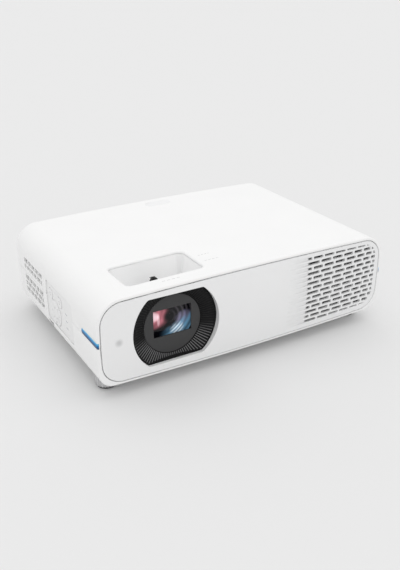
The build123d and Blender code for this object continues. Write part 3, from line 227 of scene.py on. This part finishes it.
# ---------------------------------------------------------------- front panel
# Slightly crowned white panel with rows of slots for the exhaust air and a collar round the lens.
# It is finer grained than the covers and clips in behind the rim.
even_shading(dressed("front_panel", moulded("white_front", (0.885, 0.886, 0.888), 0.42)))

# ---------------------------------------------------------------- infrared window
# Thin spot of smoked grey plastic moulded into the front panel; its edge fades into the white.
window_middle = (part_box("ir_window")[0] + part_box("ir_window")[1]) / 2
window_radius = 4.3 * millimetre
smoked = Finish("ir_filter", (0.75, 0.75, 0.75), 0.3)
from_middle = smoked.node("ShaderNodeVectorMath", {"operation": "DISTANCE"},
                          {0: smoked.place(), 1: tuple(window_middle)}, "Value")
smoked.feed("Base Color", smoked.blend(smoked.window(from_middle, window_radius * 0.15, window_radius * 1.2),
                                       (0.58, 0.58, 0.585), (0.88, 0.88, 0.882)))
smoked.feed("Roughness", smoked.noise(grain_size) * 0.1 + 0.3)
dressed("ir_window", smoked.material)

# ---------------------------------------------------------------- accent strips
# Blue gloss-plastic inlays, one in each side, that run back from the front rim.
blue = Finish("blue_trim", (0.0, 0.13, 0.42), 0.35, Specular_IOR_Level=0.25)
strip_low, strip_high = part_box("accent_strip_left")
# Painted shade and highlight: the blue is painted near black at the bottom of each strip and light blue
# along its top edge, where the light from above falls.
up_the_strip = (blue.part(blue.place(), "Z") - strip_low.z) / (strip_high.z - strip_low.z)
blue.feed("Base Color", blue.node("ShaderNodeValToRGB", {"stops": [
    (0.0, (0.0, 0.03, 0.12, 1)), (0.3, (0.0, 0.09, 0.28, 1)), (0.6, (0.0, 0.2, 0.5, 1)),
    (0.85, (0.12, 0.5, 0.82, 1))]}, {0: up_the_strip}))
blue.emboss(blue.noise(0.0012), 0.00001)
for strip in ("accent_strip_left", "accent_strip_right"):
    dressed(strip, blue.material)

# ---------------------------------------------------------------- badge
# Blank pill of thin satin plastic let into the top near the back.
badge = Finish("silver_badge", (0.86, 0.865, 0.87), 0.35)
badge.emboss(badge.noise(0.0006, 2.0, (1, 12, 1)), 0.00001)
badge.feed("Base Color", badge.blend(badge.noise(0.004), (0.85, 0.855, 0.86), (0.9, 0.9, 0.905)))
dressed("badge_plate", badge.material)

# ---------------------------------------------------------------- keypad
# White panel flush in the left side with two round keys, a ring of four and one in its middle.  The
# marks are pad printed in pale grey.
mark_height = 0.05 * millimetre
mark_grey = moulded("mark_ink", (0.5, 0.5, 0.5), 0.5)
even_shading(dressed("keypad_panel", moulded("white_keypad", (0.88, 0.88, 0.88), 0.4)))
white_keys = moulded("white_keys", (0.89, 0.89, 0.89), 0.38)
key_names = ("key_power", "key_source", "key_ok", "key_up", "key_down", "key_left", "key_right")
for key in key_names:
    dressed(key, white_keys)


def printed(flat, name, body):
    """Thin printed mark made from a bmesh that holds its flat outline"""
    mesh = bpy.data.meshes.new(name)
    flat.to_mesh(mesh)
    flat.free()
    return show(mesh, name, mark_grey, body)


def bar(work, middle, along, across, length, breadth, thickness):
    """Adds a thin rectangular block to work"""
    normal = along.cross(across)
    turn = Matrix((along, across, normal)).transposed().to_4x4()
    place = Matrix.Translation(middle) @ turn @ Matrix.Diagonal((length, breadth, thickness, 1))
    bmesh.ops.create_cube(work, size=1, matrix=place)


def key_face(key):
    low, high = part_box(key)
    return Vector((low.x + mark_height * 0.35, (low.y + high.y) / 2, (low.z + high.z) / 2))


toward_back = Vector((0, 1, 0))
upward = Vector((0, 0, 1))
power_mark = bmesh.new()
for step in range(3, 22):
    turn = radians(90 + step * 15)
    radial = toward_back * cos(turn) + upward * sin(turn)
    tangent = upward * cos(turn) - toward_back * sin(turn)
    bar(power_mark, key_face("key_power") + radial * 1.7 * millimetre, tangent, radial,
        0.5 * millimetre, 0.3 * millimetre, mark_height)
bar(power_mark, key_face("key_power") + upward * 1.3 * millimetre, upward, toward_back,
    1.5 * millimetre, 0.3 * millimetre, mark_height)
printed(power_mark, "power_mark", "key_power")
source_mark = bmesh.new()
for side in (-1, 1):
    bar(source_mark, key_face("key_source") + toward_back * side * 1.5 * millimetre, upward, toward_back,
        2.4 * millimetre, 0.3 * millimetre, mark_height)
    bar(source_mark, key_face("key_source") + upward * side * 1.2 * millimetre, toward_back, upward,
        3.0 * millimetre, 0.3 * millimetre, mark_height)
printed(source_mark, "source_mark", "key_source")
ring_turns = {"key_left": 0, "key_up": pi / 2, "key_right": pi, "key_down": -pi / 2}
ring_middle = key_face("key_ok")
for key, turn in ring_turns.items():
    arrow = bmesh.new()
    radial = toward_back * cos(turn) + upward * sin(turn)
    tangent = upward * cos(turn) - toward_back * sin(turn)
    for side in (-1, 1):
        along = (tangent * side - radial).normalized()
        tip = ring_middle + radial * 9.6 * millimetre
        bar(arrow, tip + along * 0.7 * millimetre, along, along.cross(Vector((1, 0, 0))),
            1.6 * millimetre, 0.3 * millimetre, mark_height)
    printed(arrow, key + "_mark", key)

# ---------------------------------------------------------------- marks on the top
# Pale-grey pad-printed dashes by the lever recess, which show which way the levers turn.
# They carry no wording.
rim_y = -106.5 * millimetre
top_marks = bmesh.new()
top_cover_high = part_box("top_cover")[1].z
mark_sets = ((-88, -69, 10.0), (-34, -21, 42.0), (-35, -19, 29.0))
cover_mesh = joined("top_cover")
cover_tree = BVHTree.FromPolygons([vertex.co for vertex in cover_mesh.vertices],
                                  [face.vertices for face in cover_mesh.polygons])


def on_the_top(x, y):
    """Point on the top's outside over x, y, and the surface's normal there"""
    found = cover_tree.ray_cast(Vector((x, y, 2 * top_cover_high)), Vector((0, 0, -1)))
    return found[0], found[1]


dash_count = 4
dash_share = 0.62
dash_breadth = 0.45 * millimetre
dash_height = 0.03 * millimetre
for start, end, behind in mark_sets:
    pitch = (end - start) / dash_count
    for step in range(dash_count):
        x = (start + (step + 0.5) * pitch) * millimetre
        point, facing = on_the_top(x, rim_y + behind * millimetre)
        along = Vector((1, 0, 0)) - facing * facing.x
        along.normalize()
        bar(top_marks, point, along, facing.cross(along), pitch * dash_share * millimetre, dash_breadth,
            dash_height)
printed(top_marks, "top_marks", "chassis")

# ---------------------------------------------------------------- indicator lights
# Three clear light pipes in the keypad panel; they are dark while the projector is off.
pipe = Finish("indicator_lens", (0.72, 0.74, 0.76), 0.2, Coat_Weight=0.4)
pipe.feed("Base Color", pipe.blend(pipe.noise(0.001), (0.62, 0.64, 0.66), (0.74, 0.76, 0.78)))
dressed("indicator_lights", pipe.material)

# ---------------------------------------------------------------- lens bezel
# Black funnel round the lens, satin, with fine radial ribs that kill stray light.  It sits in the
# collar of the front panel.
optical_axis = Vector((-79.4, 0, 53.9)) * millimetre
rib_count = 92
rib_inner = 28.2
rib_outer = 40.0
rib_flat = 30.3
funnel_top = 2.9
funnel_fall = 3.5
rib_breadth = 0.75 * millimetre
rib_height = 0.9 * millimetre
rib_stands_out = 0.2
black_plastic = moulded("black_bezel", (0.004, 0.004, 0.0045), 0.55, Specular_IOR_Level=0.16)
dressed("lens_bezel", black_plastic)
ribs = bmesh.new()
for step in range(rib_count):
    turn = 2 * pi * (step + 0.5) / rib_count
    outer = min(rib_outer, rib_flat / max(abs(sin(turn)), 0.001))
    radial = Vector((cos(turn), 0, sin(turn)))
    slope = Vector((radial.x, -funnel_fall / (rib_outer - rib_inner), radial.z)).normalized()
    middle_radius = (rib_inner + outer) / 2
    sink = funnel_top + funnel_fall * (rib_outer - middle_radius) / (rib_outer - rib_inner)
    middle = optical_axis + radial * middle_radius * millimetre
    middle.y = rim_y + (sink - rib_stands_out) * millimetre
    across = slope.cross(Vector((0, 1, 0))).normalized()
    bar(ribs, middle, slope, across, (outer - rib_inner) * millimetre / slope.dot(radial),
        rib_breadth, rib_height)
rib_mesh = bpy.data.meshes.new("bezel_ribs")
ribs.to_mesh(rib_mesh)
ribs.free()
rib_finish = Finish("black_ribs", (0.02, 0.02, 0.021), 0.5, Specular_IOR_Level=0.2)
# Painted light: the ribs are painted lighter towards the bottom, where the funnel faces up to the light from
# above, and near black above the lens axis.
below_axis = (optical_axis.z - rib_finish.part(rib_finish.place(), "Z")) / millimetre
rib_finish.feed("Base Color", rib_finish.blend(rib_finish.window(below_axis, 4, 18),
                                               (0.01, 0.01, 0.0105), (0.15, 0.15, 0.153)))
rib_finish.feed("Roughness", rib_finish.noise(grain_size) * 0.1 + 0.45)
show(rib_mesh, "bezel_ribs", rib_finish.material, "chassis")

# ---------------------------------------------------------------- lens mask
# Flat disc of dark grey plastic with the rectangular window for the light.
dressed("lens_mask", moulded("dark_mask", (0.05, 0.05, 0.051), 0.6, depth=0.00001, Specular_IOR_Level=0.3))

# ---------------------------------------------------------------- front lens group
# Large front lens with a multi-layer coating, in a black cell that slides in the barrel; the pink and blue
# that the coating mirrors are painted reflections and highlights in the glass colour, which also glows
# faintly.  Thin baffle rings stand in the cell's tube.
black_cell = moulded("black_cell", (0.006, 0.006, 0.0065), 0.5, Specular_IOR_Level=0.2)
dressed("front_lens_cell", black_cell)
glass_low, glass_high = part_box("front_lens_glass")
coated = Finish("front_glass_painted_reflections", (0.01, 0.01, 0.014), 0.06, Specular_IOR_Level=0.25)
sideways = (coated.part(coated.place(), "X") - optical_axis.x) / millimetre
height = (coated.part(coated.place(), "Z") - optical_axis.z) / millimetre


def spot(x, z, wide, high, soft):
    """1 inside an ellipse on the lens, 0 outside, with a soft border"""
    u = (sideways - x) / wide
    w = (height - z) / high
    return 1 - coated.window(u * u + w * w, 1 - soft, 1 + soft)


def arcs(x, z, pitch, sharp):
    """Bright arcs about a point, pitch apart"""
    u = sideways - x
    w = height - z
    wave = ((u * u + w * w) ** 0.5 * (2 * pi / pitch)).maths("SINE") * 0.5 + 0.5
    return wave ** sharp


# The patches, arcs and rings below are painted reflections and painted highlights of the coating, with a
# dark painted pupil, all laid into the glass colour.
pupil_x = -1.5
pupil_z = 5.5
streaks = coated.noise(0.005, 3.0)
ripple = (streaks - 0.5) * 5
painted_pink_reflection = spot(-15.0, 8.0, 11.0, 10.0, 0.98) * (0.62 + arcs(-24, 13, 5.8, 1.0) * 0.38)
painted_pink_highlight = spot(-16.5, 7.5, 5.0, 4.0, 0.98) * 0.8 + spot(-11.5, 4.0, 1.3, 5.0, 0.98) * 0.35
below_line = (sideways + 9.0) * 0.42 - 9.0 - height + ripple
painted_blue_area = coated.window(below_line, -3.0, 5.0) * coated.window(sideways, -12.0, 1.0)
painted_blue_reflection = painted_blue_area * (0.28 + arcs(-14, 18, 6.2, 1.0) * 0.6 + streaks * 0.3)
painted_pale_reflection = painted_blue_area * spot(6.5, -9.0, 6.0, 6.5, 0.97) * (0.2 + arcs(-14, 18, 3.1, 2.0) * 0.75)
painted_violet_reflection = spot(13.5, 0.5, 7.5, 6.0, 0.97) * (0.25 + arcs(pupil_x, pupil_z, 5.0, 1.0) * 0.5)
rings = arcs(pupil_x, pupil_z, 4.4, 1.6) * coated.window(sideways, -4.0, 8.0)
pupil = spot(pupil_x, pupil_z, 5.2, 5.0, 0.98)
tone = coated.blend(rings * 0.9, (0.002, 0.002, 0.003), (0.04, 0.036, 0.042))
for share, colour in ((painted_pink_reflection, (0.5, 0.16, 0.2)), (painted_pink_highlight, (1.0, 0.74, 0.8)),
                      (painted_violet_reflection, (0.2, 0.19, 0.3)), (painted_blue_reflection, (0.11, 0.25, 0.38)),
                      (painted_pale_reflection, (0.7, 0.8, 0.88)), (pupil, (0.003, 0.003, 0.004))):
    tone = coated.node("ShaderNodeMix", {"data_type": "RGBA"}, {0: share, 6: tone, 7: (*colour, 1)}, 2)
coated.feed("Base Color", tone)
# The painted reflections also glow through the emission, though the lens is no lamp.
coated.feed("Emission Color", tone)
coated.shader.inputs["Emission Strength"].default_value = 0.45
coated.feed("Roughness", streaks * 0.05 + 0.04)
dressed("front_lens_glass", coated.material, 20)
baffle_outside = 9.3 * millimetre
baffle_thickness = 0.4 * millimetre
baffle_count = 5
widest_edge = 8.9
edge_step = 0.8
first_baffle = 16.0
baffle_pitch = 3.0
baffles = bmesh.new()
for step in range(baffle_count):
    edge_radius = (widest_edge - step * edge_step) * millimetre
    depth = rim_y + (first_baffle + step * baffle_pitch) * millimetre
    profile = [baffles.verts.new(optical_axis + Vector((radius, depth + y, 0)))
               for radius, y in ((baffle_outside, 0), (edge_radius, 0), (edge_radius, baffle_thickness),
                                 (baffle_outside, baffle_thickness))]
    edges = [baffles.edges.new((profile[i], profile[(i + 1) % 4])) for i in range(4)]
    bmesh.ops.spin(baffles, geom=profile + edges, cent=optical_axis, axis=(0, 1, 0), angle=2 * pi,
                   steps=48, use_merge=True)
bmesh.ops.remove_doubles(baffles, verts=baffles.verts, dist=0.01 * millimetre)
bmesh.ops.recalc_face_normals(baffles, faces=baffles.faces)
baffle_mesh = bpy.data.meshes.new("tube_baffles")
baffles.to_mesh(baffle_mesh)
baffles.free()
show(baffle_mesh, "tube_baffles", moulded("baffle_black", (0.012, 0.012, 0.013), 0.4),
     "front_lens_group")

# ---------------------------------------------------------------- barrel, rings and levers
# Black glass-filled plastic barrel.  The two rings turn on it and their levers reach up through the
# recess floor, with three fine grip ridges across each tip.
lens_black = moulded("lens_black", (0.008, 0.008, 0.0085), 0.5, 0.0006, 0.00003, Specular_IOR_Level=0.25)
for node in ("lens_barrel", "focus_ring", "zoom_ring", "zoom_lens_cell"):
    dressed(node, lens_black)
ridge_pitch = 1.1 * millimetre
ridge_length = 4.6 * millimetre
ridge_breadth = 0.4 * millimetre
ridge_height = 0.5 * millimetre
ridge_edge = 0.1 * millimetre
for ring, lever_y in (("focus_ring", -78.5), ("zoom_ring", -62.0)):
    ridges = bmesh.new()
    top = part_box(ring)[1].z
    for step in (-1, 0, 1):
        bar(ridges, Vector((optical_axis.x + step * ridge_pitch, lever_y * millimetre, top)),
            Vector((0, 1, 0)), Vector((1, 0, 0)), ridge_length, ridge_breadth, ridge_height)
    bmesh.ops.bevel(ridges, geom=ridges.edges, offset=ridge_edge, segments=2, affect="EDGES",
                    profile=0.5, material=-1)
    ridge_mesh = bpy.data.meshes.new(ring + "_ridges")
    ridges.to_mesh(ridge_mesh)
    ridges.free()
    show(ridge_mesh, ring + "_ridges", lens_black, ring)

# ---------------------------------------------------------------- inner glass
# Ground and coated lenses of the zoom group and the rear of the lens, and the engine's prism,
# condensers and colour-splitting mirrors.
inner_glass = Finish("coated_glass", (0.7, 0.78, 0.92), 0.04, IOR=1.52)
inner_glass.feed("Alpha", inner_glass.window(inner_glass.noise(0.03), 0.2, 0.8) * 0.1 + 0.35)
for node in ("zoom_lens_glass", "rear_lens_glass"):
    dressed(node, inner_glass.material, 20)
optics = Finish("optical_glass", (0.82, 0.88, 0.94), 0.05, IOR=1.52)
optics.feed("Alpha", optics.window(optics.noise(0.02), 0.2, 0.8) * 0.1 + 0.4)
for node in ("tir_prism", "condenser_lenses", "dichroic_mirrors"):
    dressed(node, optics.material, 25)

# ---------------------------------------------------------------- light engine
# Die-cast magnesium tub and lid, sand blasted, with the imaging chip and its board on the back.
cast = Finish("cast_engine", (0.52, 0.52, 0.54), 0.5, Metallic=0.9)
pits = cast.noise(0.0009, 4.0)
cast.emboss(pits, 0.00006)
cast.feed("Base Color", cast.blend(cast.noise(0.02), (0.44, 0.44, 0.46), (0.6, 0.6, 0.62)))
cast.feed("Roughness", pits * 0.25 + 0.38)
for node in ("engine_housing", "engine_lid"):
    dressed(node, cast.material)
ceramic = Finish("chip_ceramic", (0.2, 0.2, 0.24), 0.35)
ceramic.feed("Base Color", ceramic.blend(ceramic.noise(0.003), (0.17, 0.17, 0.2), (0.26, 0.26, 0.3)))
dressed("imaging_chip", ceramic.material)


# ---------------------------------------------------------------- boards
# Glass-fibre circuit boards with green solder mask; tall black parts, pale transformers and fine
# copper tracks show through the mask.
def board_finish(name, level):
    """Green below level, black component bodies above it"""
    board = Finish(name, (0.03, 0.2, 0.09), 0.4, Coat_Weight=0.3)
    tracks = board.node("ShaderNodeTexBrick", {"offset": 0.5},
                        {"Vector": board.place(), "Scale": 120.0, "Mortar Size": 0.03,
                         "Color1": (0.02, 0.16, 0.07, 1), "Color2": (0.03, 0.22, 0.1, 1),
                         "Mortar": (0.1, 0.32, 0.16, 1)})
    tall = board.window(board.part(board.place(), "Z"), level, level + 0.0002)
    board.feed("Base Color", board.node("ShaderNodeMix", {"data_type": "RGBA"},
                                        {0: tall, 6: tracks, 7: (0.035, 0.035, 0.04, 1)}, 2))
    board.feed("Roughness", board.noise(0.002) * 0.2 + 0.35)
    return board.material


board_top = 36.7 * millimetre
supply_top = 28.7 * millimetre
above_all = 1.0
for node, level in (("main_board", board_top), ("power_supply", supply_top), ("imaging_board", above_all),
                    ("keypad_board", above_all)):
    dressed(node, board_finish(node + "_mask", level))

# ---------------------------------------------------------------- cooling
# Pressed aluminium fins on copper bases and heat pipes, and two dark grey axial fans.
fins = Finish("fin_aluminium", (0.72, 0.72, 0.74), 0.35, Metallic=1.0)
fins.feed("Roughness", fins.noise(0.001, 2.0, (1, 1, 20)) * 0.2 + 0.25)
fins.feed("Base Color", fins.blend(fins.noise(0.01), (0.66, 0.66, 0.68), (0.78, 0.78, 0.8)))
dressed("led_heatsinks", fins.material)
copper = Finish("copper", (0.72, 0.4, 0.26), 0.3, Metallic=1.0)
copper.feed("Base Color", copper.blend(copper.noise(0.008), (0.62, 0.33, 0.2), (0.78, 0.46, 0.3)))
copper.feed("Roughness", copper.noise(0.001) * 0.2 + 0.22)
for node in ("heat_pipes", "led_modules"):
    dressed(node, copper.material)
fan_grey = moulded("fan_plastic", (0.16, 0.16, 0.165), 0.45)
for node in ("exhaust_fan_frame", "exhaust_fan_rotor", "intake_fan_frame", "intake_fan_rotor"):
    dressed(node, fan_grey)

# ---------------------------------------------------------------- dust filter and finger guard
# Pale non-woven filter pad behind the left vent, and a grey moulded guard of rings and spokes
# between the front vent and the exhaust fan.
pad_low = Vector((-0.1492, 0.024, 0.030))
pad_high = Vector((-0.1483, 0.079, 0.0685))
filter_felt = Finish("filter_felt", (0.42, 0.42, 0.42), 0.95)
felt = filter_felt.noise(0.0007, 5.0)
filter_felt.emboss(felt, 0.0002)
filter_felt.feed("Base Color", filter_felt.blend(felt, (0.36, 0.36, 0.36), (0.58, 0.58, 0.58)))
filter_work = bmesh.new()
bmesh.ops.create_cube(filter_work, size=1, matrix=Matrix.Translation((pad_low + pad_high) / 2)
                      @ Matrix.Diagonal((*(pad_high - pad_low), 1)))
filter_mesh = bpy.data.meshes.new("dust_filter")
filter_work.to_mesh(filter_mesh)
filter_work.free()
show(filter_mesh, "dust_filter", filter_felt.material, "chassis")
guard_low, guard_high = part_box("exhaust_fan_frame")
guard_middle = Vector(((guard_low.x + guard_high.x) / 2, guard_low.y - 1.6 * millimetre,
                       (guard_low.z + guard_high.z) / 2))
guard_ring_count = 9
first_ring = 3.4
ring_pitch = 3.1
ring_width = 1.5 * millimetre
ring_half_depth = 0.6
spoke_middle = 16 * millimetre
spoke_length = 29 * millimetre
spoke_depth = 1.2 * millimetre
spoke_breadth = 2.0 * millimetre
guard = bmesh.new()
for step in range(guard_ring_count):
    inner = (first_ring + step * ring_pitch) * millimetre
    outer = inner + ring_width
    loop = [guard.verts.new(guard_middle + Vector((radius, y * millimetre, 0)))
            for radius, y in ((inner, -ring_half_depth), (outer, -ring_half_depth),
                              (outer, ring_half_depth), (inner, ring_half_depth))]
    sides = [guard.edges.new((loop[i], loop[(i + 1) % 4])) for i in range(4)]
    bmesh.ops.spin(guard, geom=loop + sides, cent=guard_middle, axis=(0, 1, 0), angle=2 * pi,
                   steps=40, use_merge=True)
bmesh.ops.remove_doubles(guard, verts=guard.verts, dist=0.01 * millimetre)
for step in range(4):
    turn = radians(45 + step * 90)
    out = Vector((cos(turn), 0, sin(turn)))
    bar(guard, guard_middle + out * spoke_middle, out, Vector((0, 1, 0)), spoke_length,
        spoke_depth, spoke_breadth)
bmesh.ops.recalc_face_normals(guard, faces=guard.faces)
guard_mesh = bpy.data.meshes.new("finger_guard")
guard.to_mesh(guard_mesh)
guard.free()
show(guard_mesh, "finger_guard", moulded("guard_plastic", (0.42, 0.42, 0.42), 0.5), "chassis")

# ---------------------------------------------------------------- sockets
# Tin-plated steel shells with black tongues, two round jacks and the mains inlet.
plated = Finish("socket_steel", (0.7, 0.7, 0.7), 0.3, Metallic=1.0)
plated.feed("Roughness", plated.noise(0.0008, 2.0, (1, 8, 1)) * 0.2 + 0.2)
plated.feed("Base Color", plated.blend(plated.noise(0.004), (0.62, 0.62, 0.62), (0.75, 0.75, 0.75)))
for node in ("hdmi_sockets", "usb_socket", "lan_socket", "serial_port"):
    dressed(node, plated.material)
black_socket = moulded("black_socket", (0.025, 0.025, 0.026), 0.45)
for node in ("audio_jacks", "ac_inlet"):
    dressed(node, black_socket)

# ---------------------------------------------------------------- speaker
# Steel basket with a pressed paper cone behind the right side vent.
cone = Finish("speaker_cone", (0.05, 0.05, 0.05), 0.8)
cone.emboss(cone.noise(0.0015, 4.0), 0.00008)
cone.feed("Base Color", cone.blend(cone.noise(0.002), (0.035, 0.035, 0.035), (0.07, 0.07, 0.07)))
dressed("speaker", cone.material)

# ---------------------------------------------------------------- feet
# Ribbed pale-grey heads on steel studs at the front, rubber pads under them and two rubber feet at
# the back.
rubber = moulded("foot_rubber", (0.09, 0.09, 0.09), 0.75, 0.0008, 0.00005)
for node in ("foot_pad_left", "foot_pad_right", "rear_feet"):
    dressed(node, rubber)
foot_grey = moulded("foot_plastic", (0.62, 0.62, 0.625), 0.5)
for node in ("foot_screw_left", "foot_screw_right"):
    dressed(node, foot_grey)

# ---------------------------------------------------------------- inserts and screws
# Brass threaded inserts for a ceiling bracket, and zinc-plated cover screws.
brass = Finish("brass_insert", (0.75, 0.55, 0.25), 0.3, Metallic=1.0)
brass.feed("Roughness", brass.noise(0.0006) * 0.25 + 0.22)
dressed("ceiling_inserts", brass.material)
zinc = Finish("zinc_screw", (0.55, 0.56, 0.58), 0.35, Metallic=1.0)
zinc.feed("Roughness", zinc.noise(0.0006) * 0.25 + 0.28)
dressed("cover_screws", zinc.material)

# ---------------------------------------------------------------- floor, light and camera
# Plain pale floor, one broad soft light overhead, a weaker one in front and an even sky.
floor_grey = (0.8, 0.8, 0.8)
floor_work = bmesh.new()
bmesh.ops.create_grid(floor_work, x_segments=1, y_segments=1, size=30)
floor_mesh = bpy.data.meshes.new("floor")
floor_work.to_mesh(floor_mesh)
floor_work.free()
floor = bpy.data.objects.new("floor", floor_mesh)
bpy.context.scene.collection.objects.link(floor)
paper = Finish("floor_paper", floor_grey, 0.9)
paper.shader.inputs["Specular IOR Level"].default_value = 0.1
floor.data.materials.append(paper.material)

bpy.context.scene.view_settings.view_transform = "Standard"
sky = bpy.data.worlds.new("sky")
bpy.context.scene.world = sky
sky.use_nodes = True
sky.node_tree.nodes["Background"].inputs["Color"].default_value = (1, 1, 1, 1)
sky.node_tree.nodes["Background"].inputs["Strength"].default_value = 0.86


def soft_light(name, source, spread, power):
    """Light from one side of the room, soft enough to leave no hard shadow"""
    lamp = bpy.data.lights.new(name, "SUN")
    lamp.energy = power
    lamp.angle = radians(spread)
    holder = bpy.data.objects.new(name, lamp)
    bpy.context.scene.collection.objects.link(holder)
    holder.rotation_euler = (-Vector(source)).to_track_quat("-Z", "Y").to_euler()


soft_light("overhead", (0.12, 0.05, 1.0), 70, 0.52)
soft_light("front_fill", (-0.35, -1.0, 0.4), 60, 0.1)

view_back = Vector((-0.458, -0.780, 0.428))
camera_data = bpy.data.cameras.new("camera")
camera_data.lens = 45.92
camera_data.sensor_width = 36
camera = bpy.data.objects.new("camera", camera_data)
bpy.context.scene.collection.objects.link(camera)
camera.location = (-0.3396, -0.5896, 0.3528)
camera.rotation_euler = (-view_back).to_track_quat("-Z", "Y").to_euler()
bpy.context.scene.camera = camera
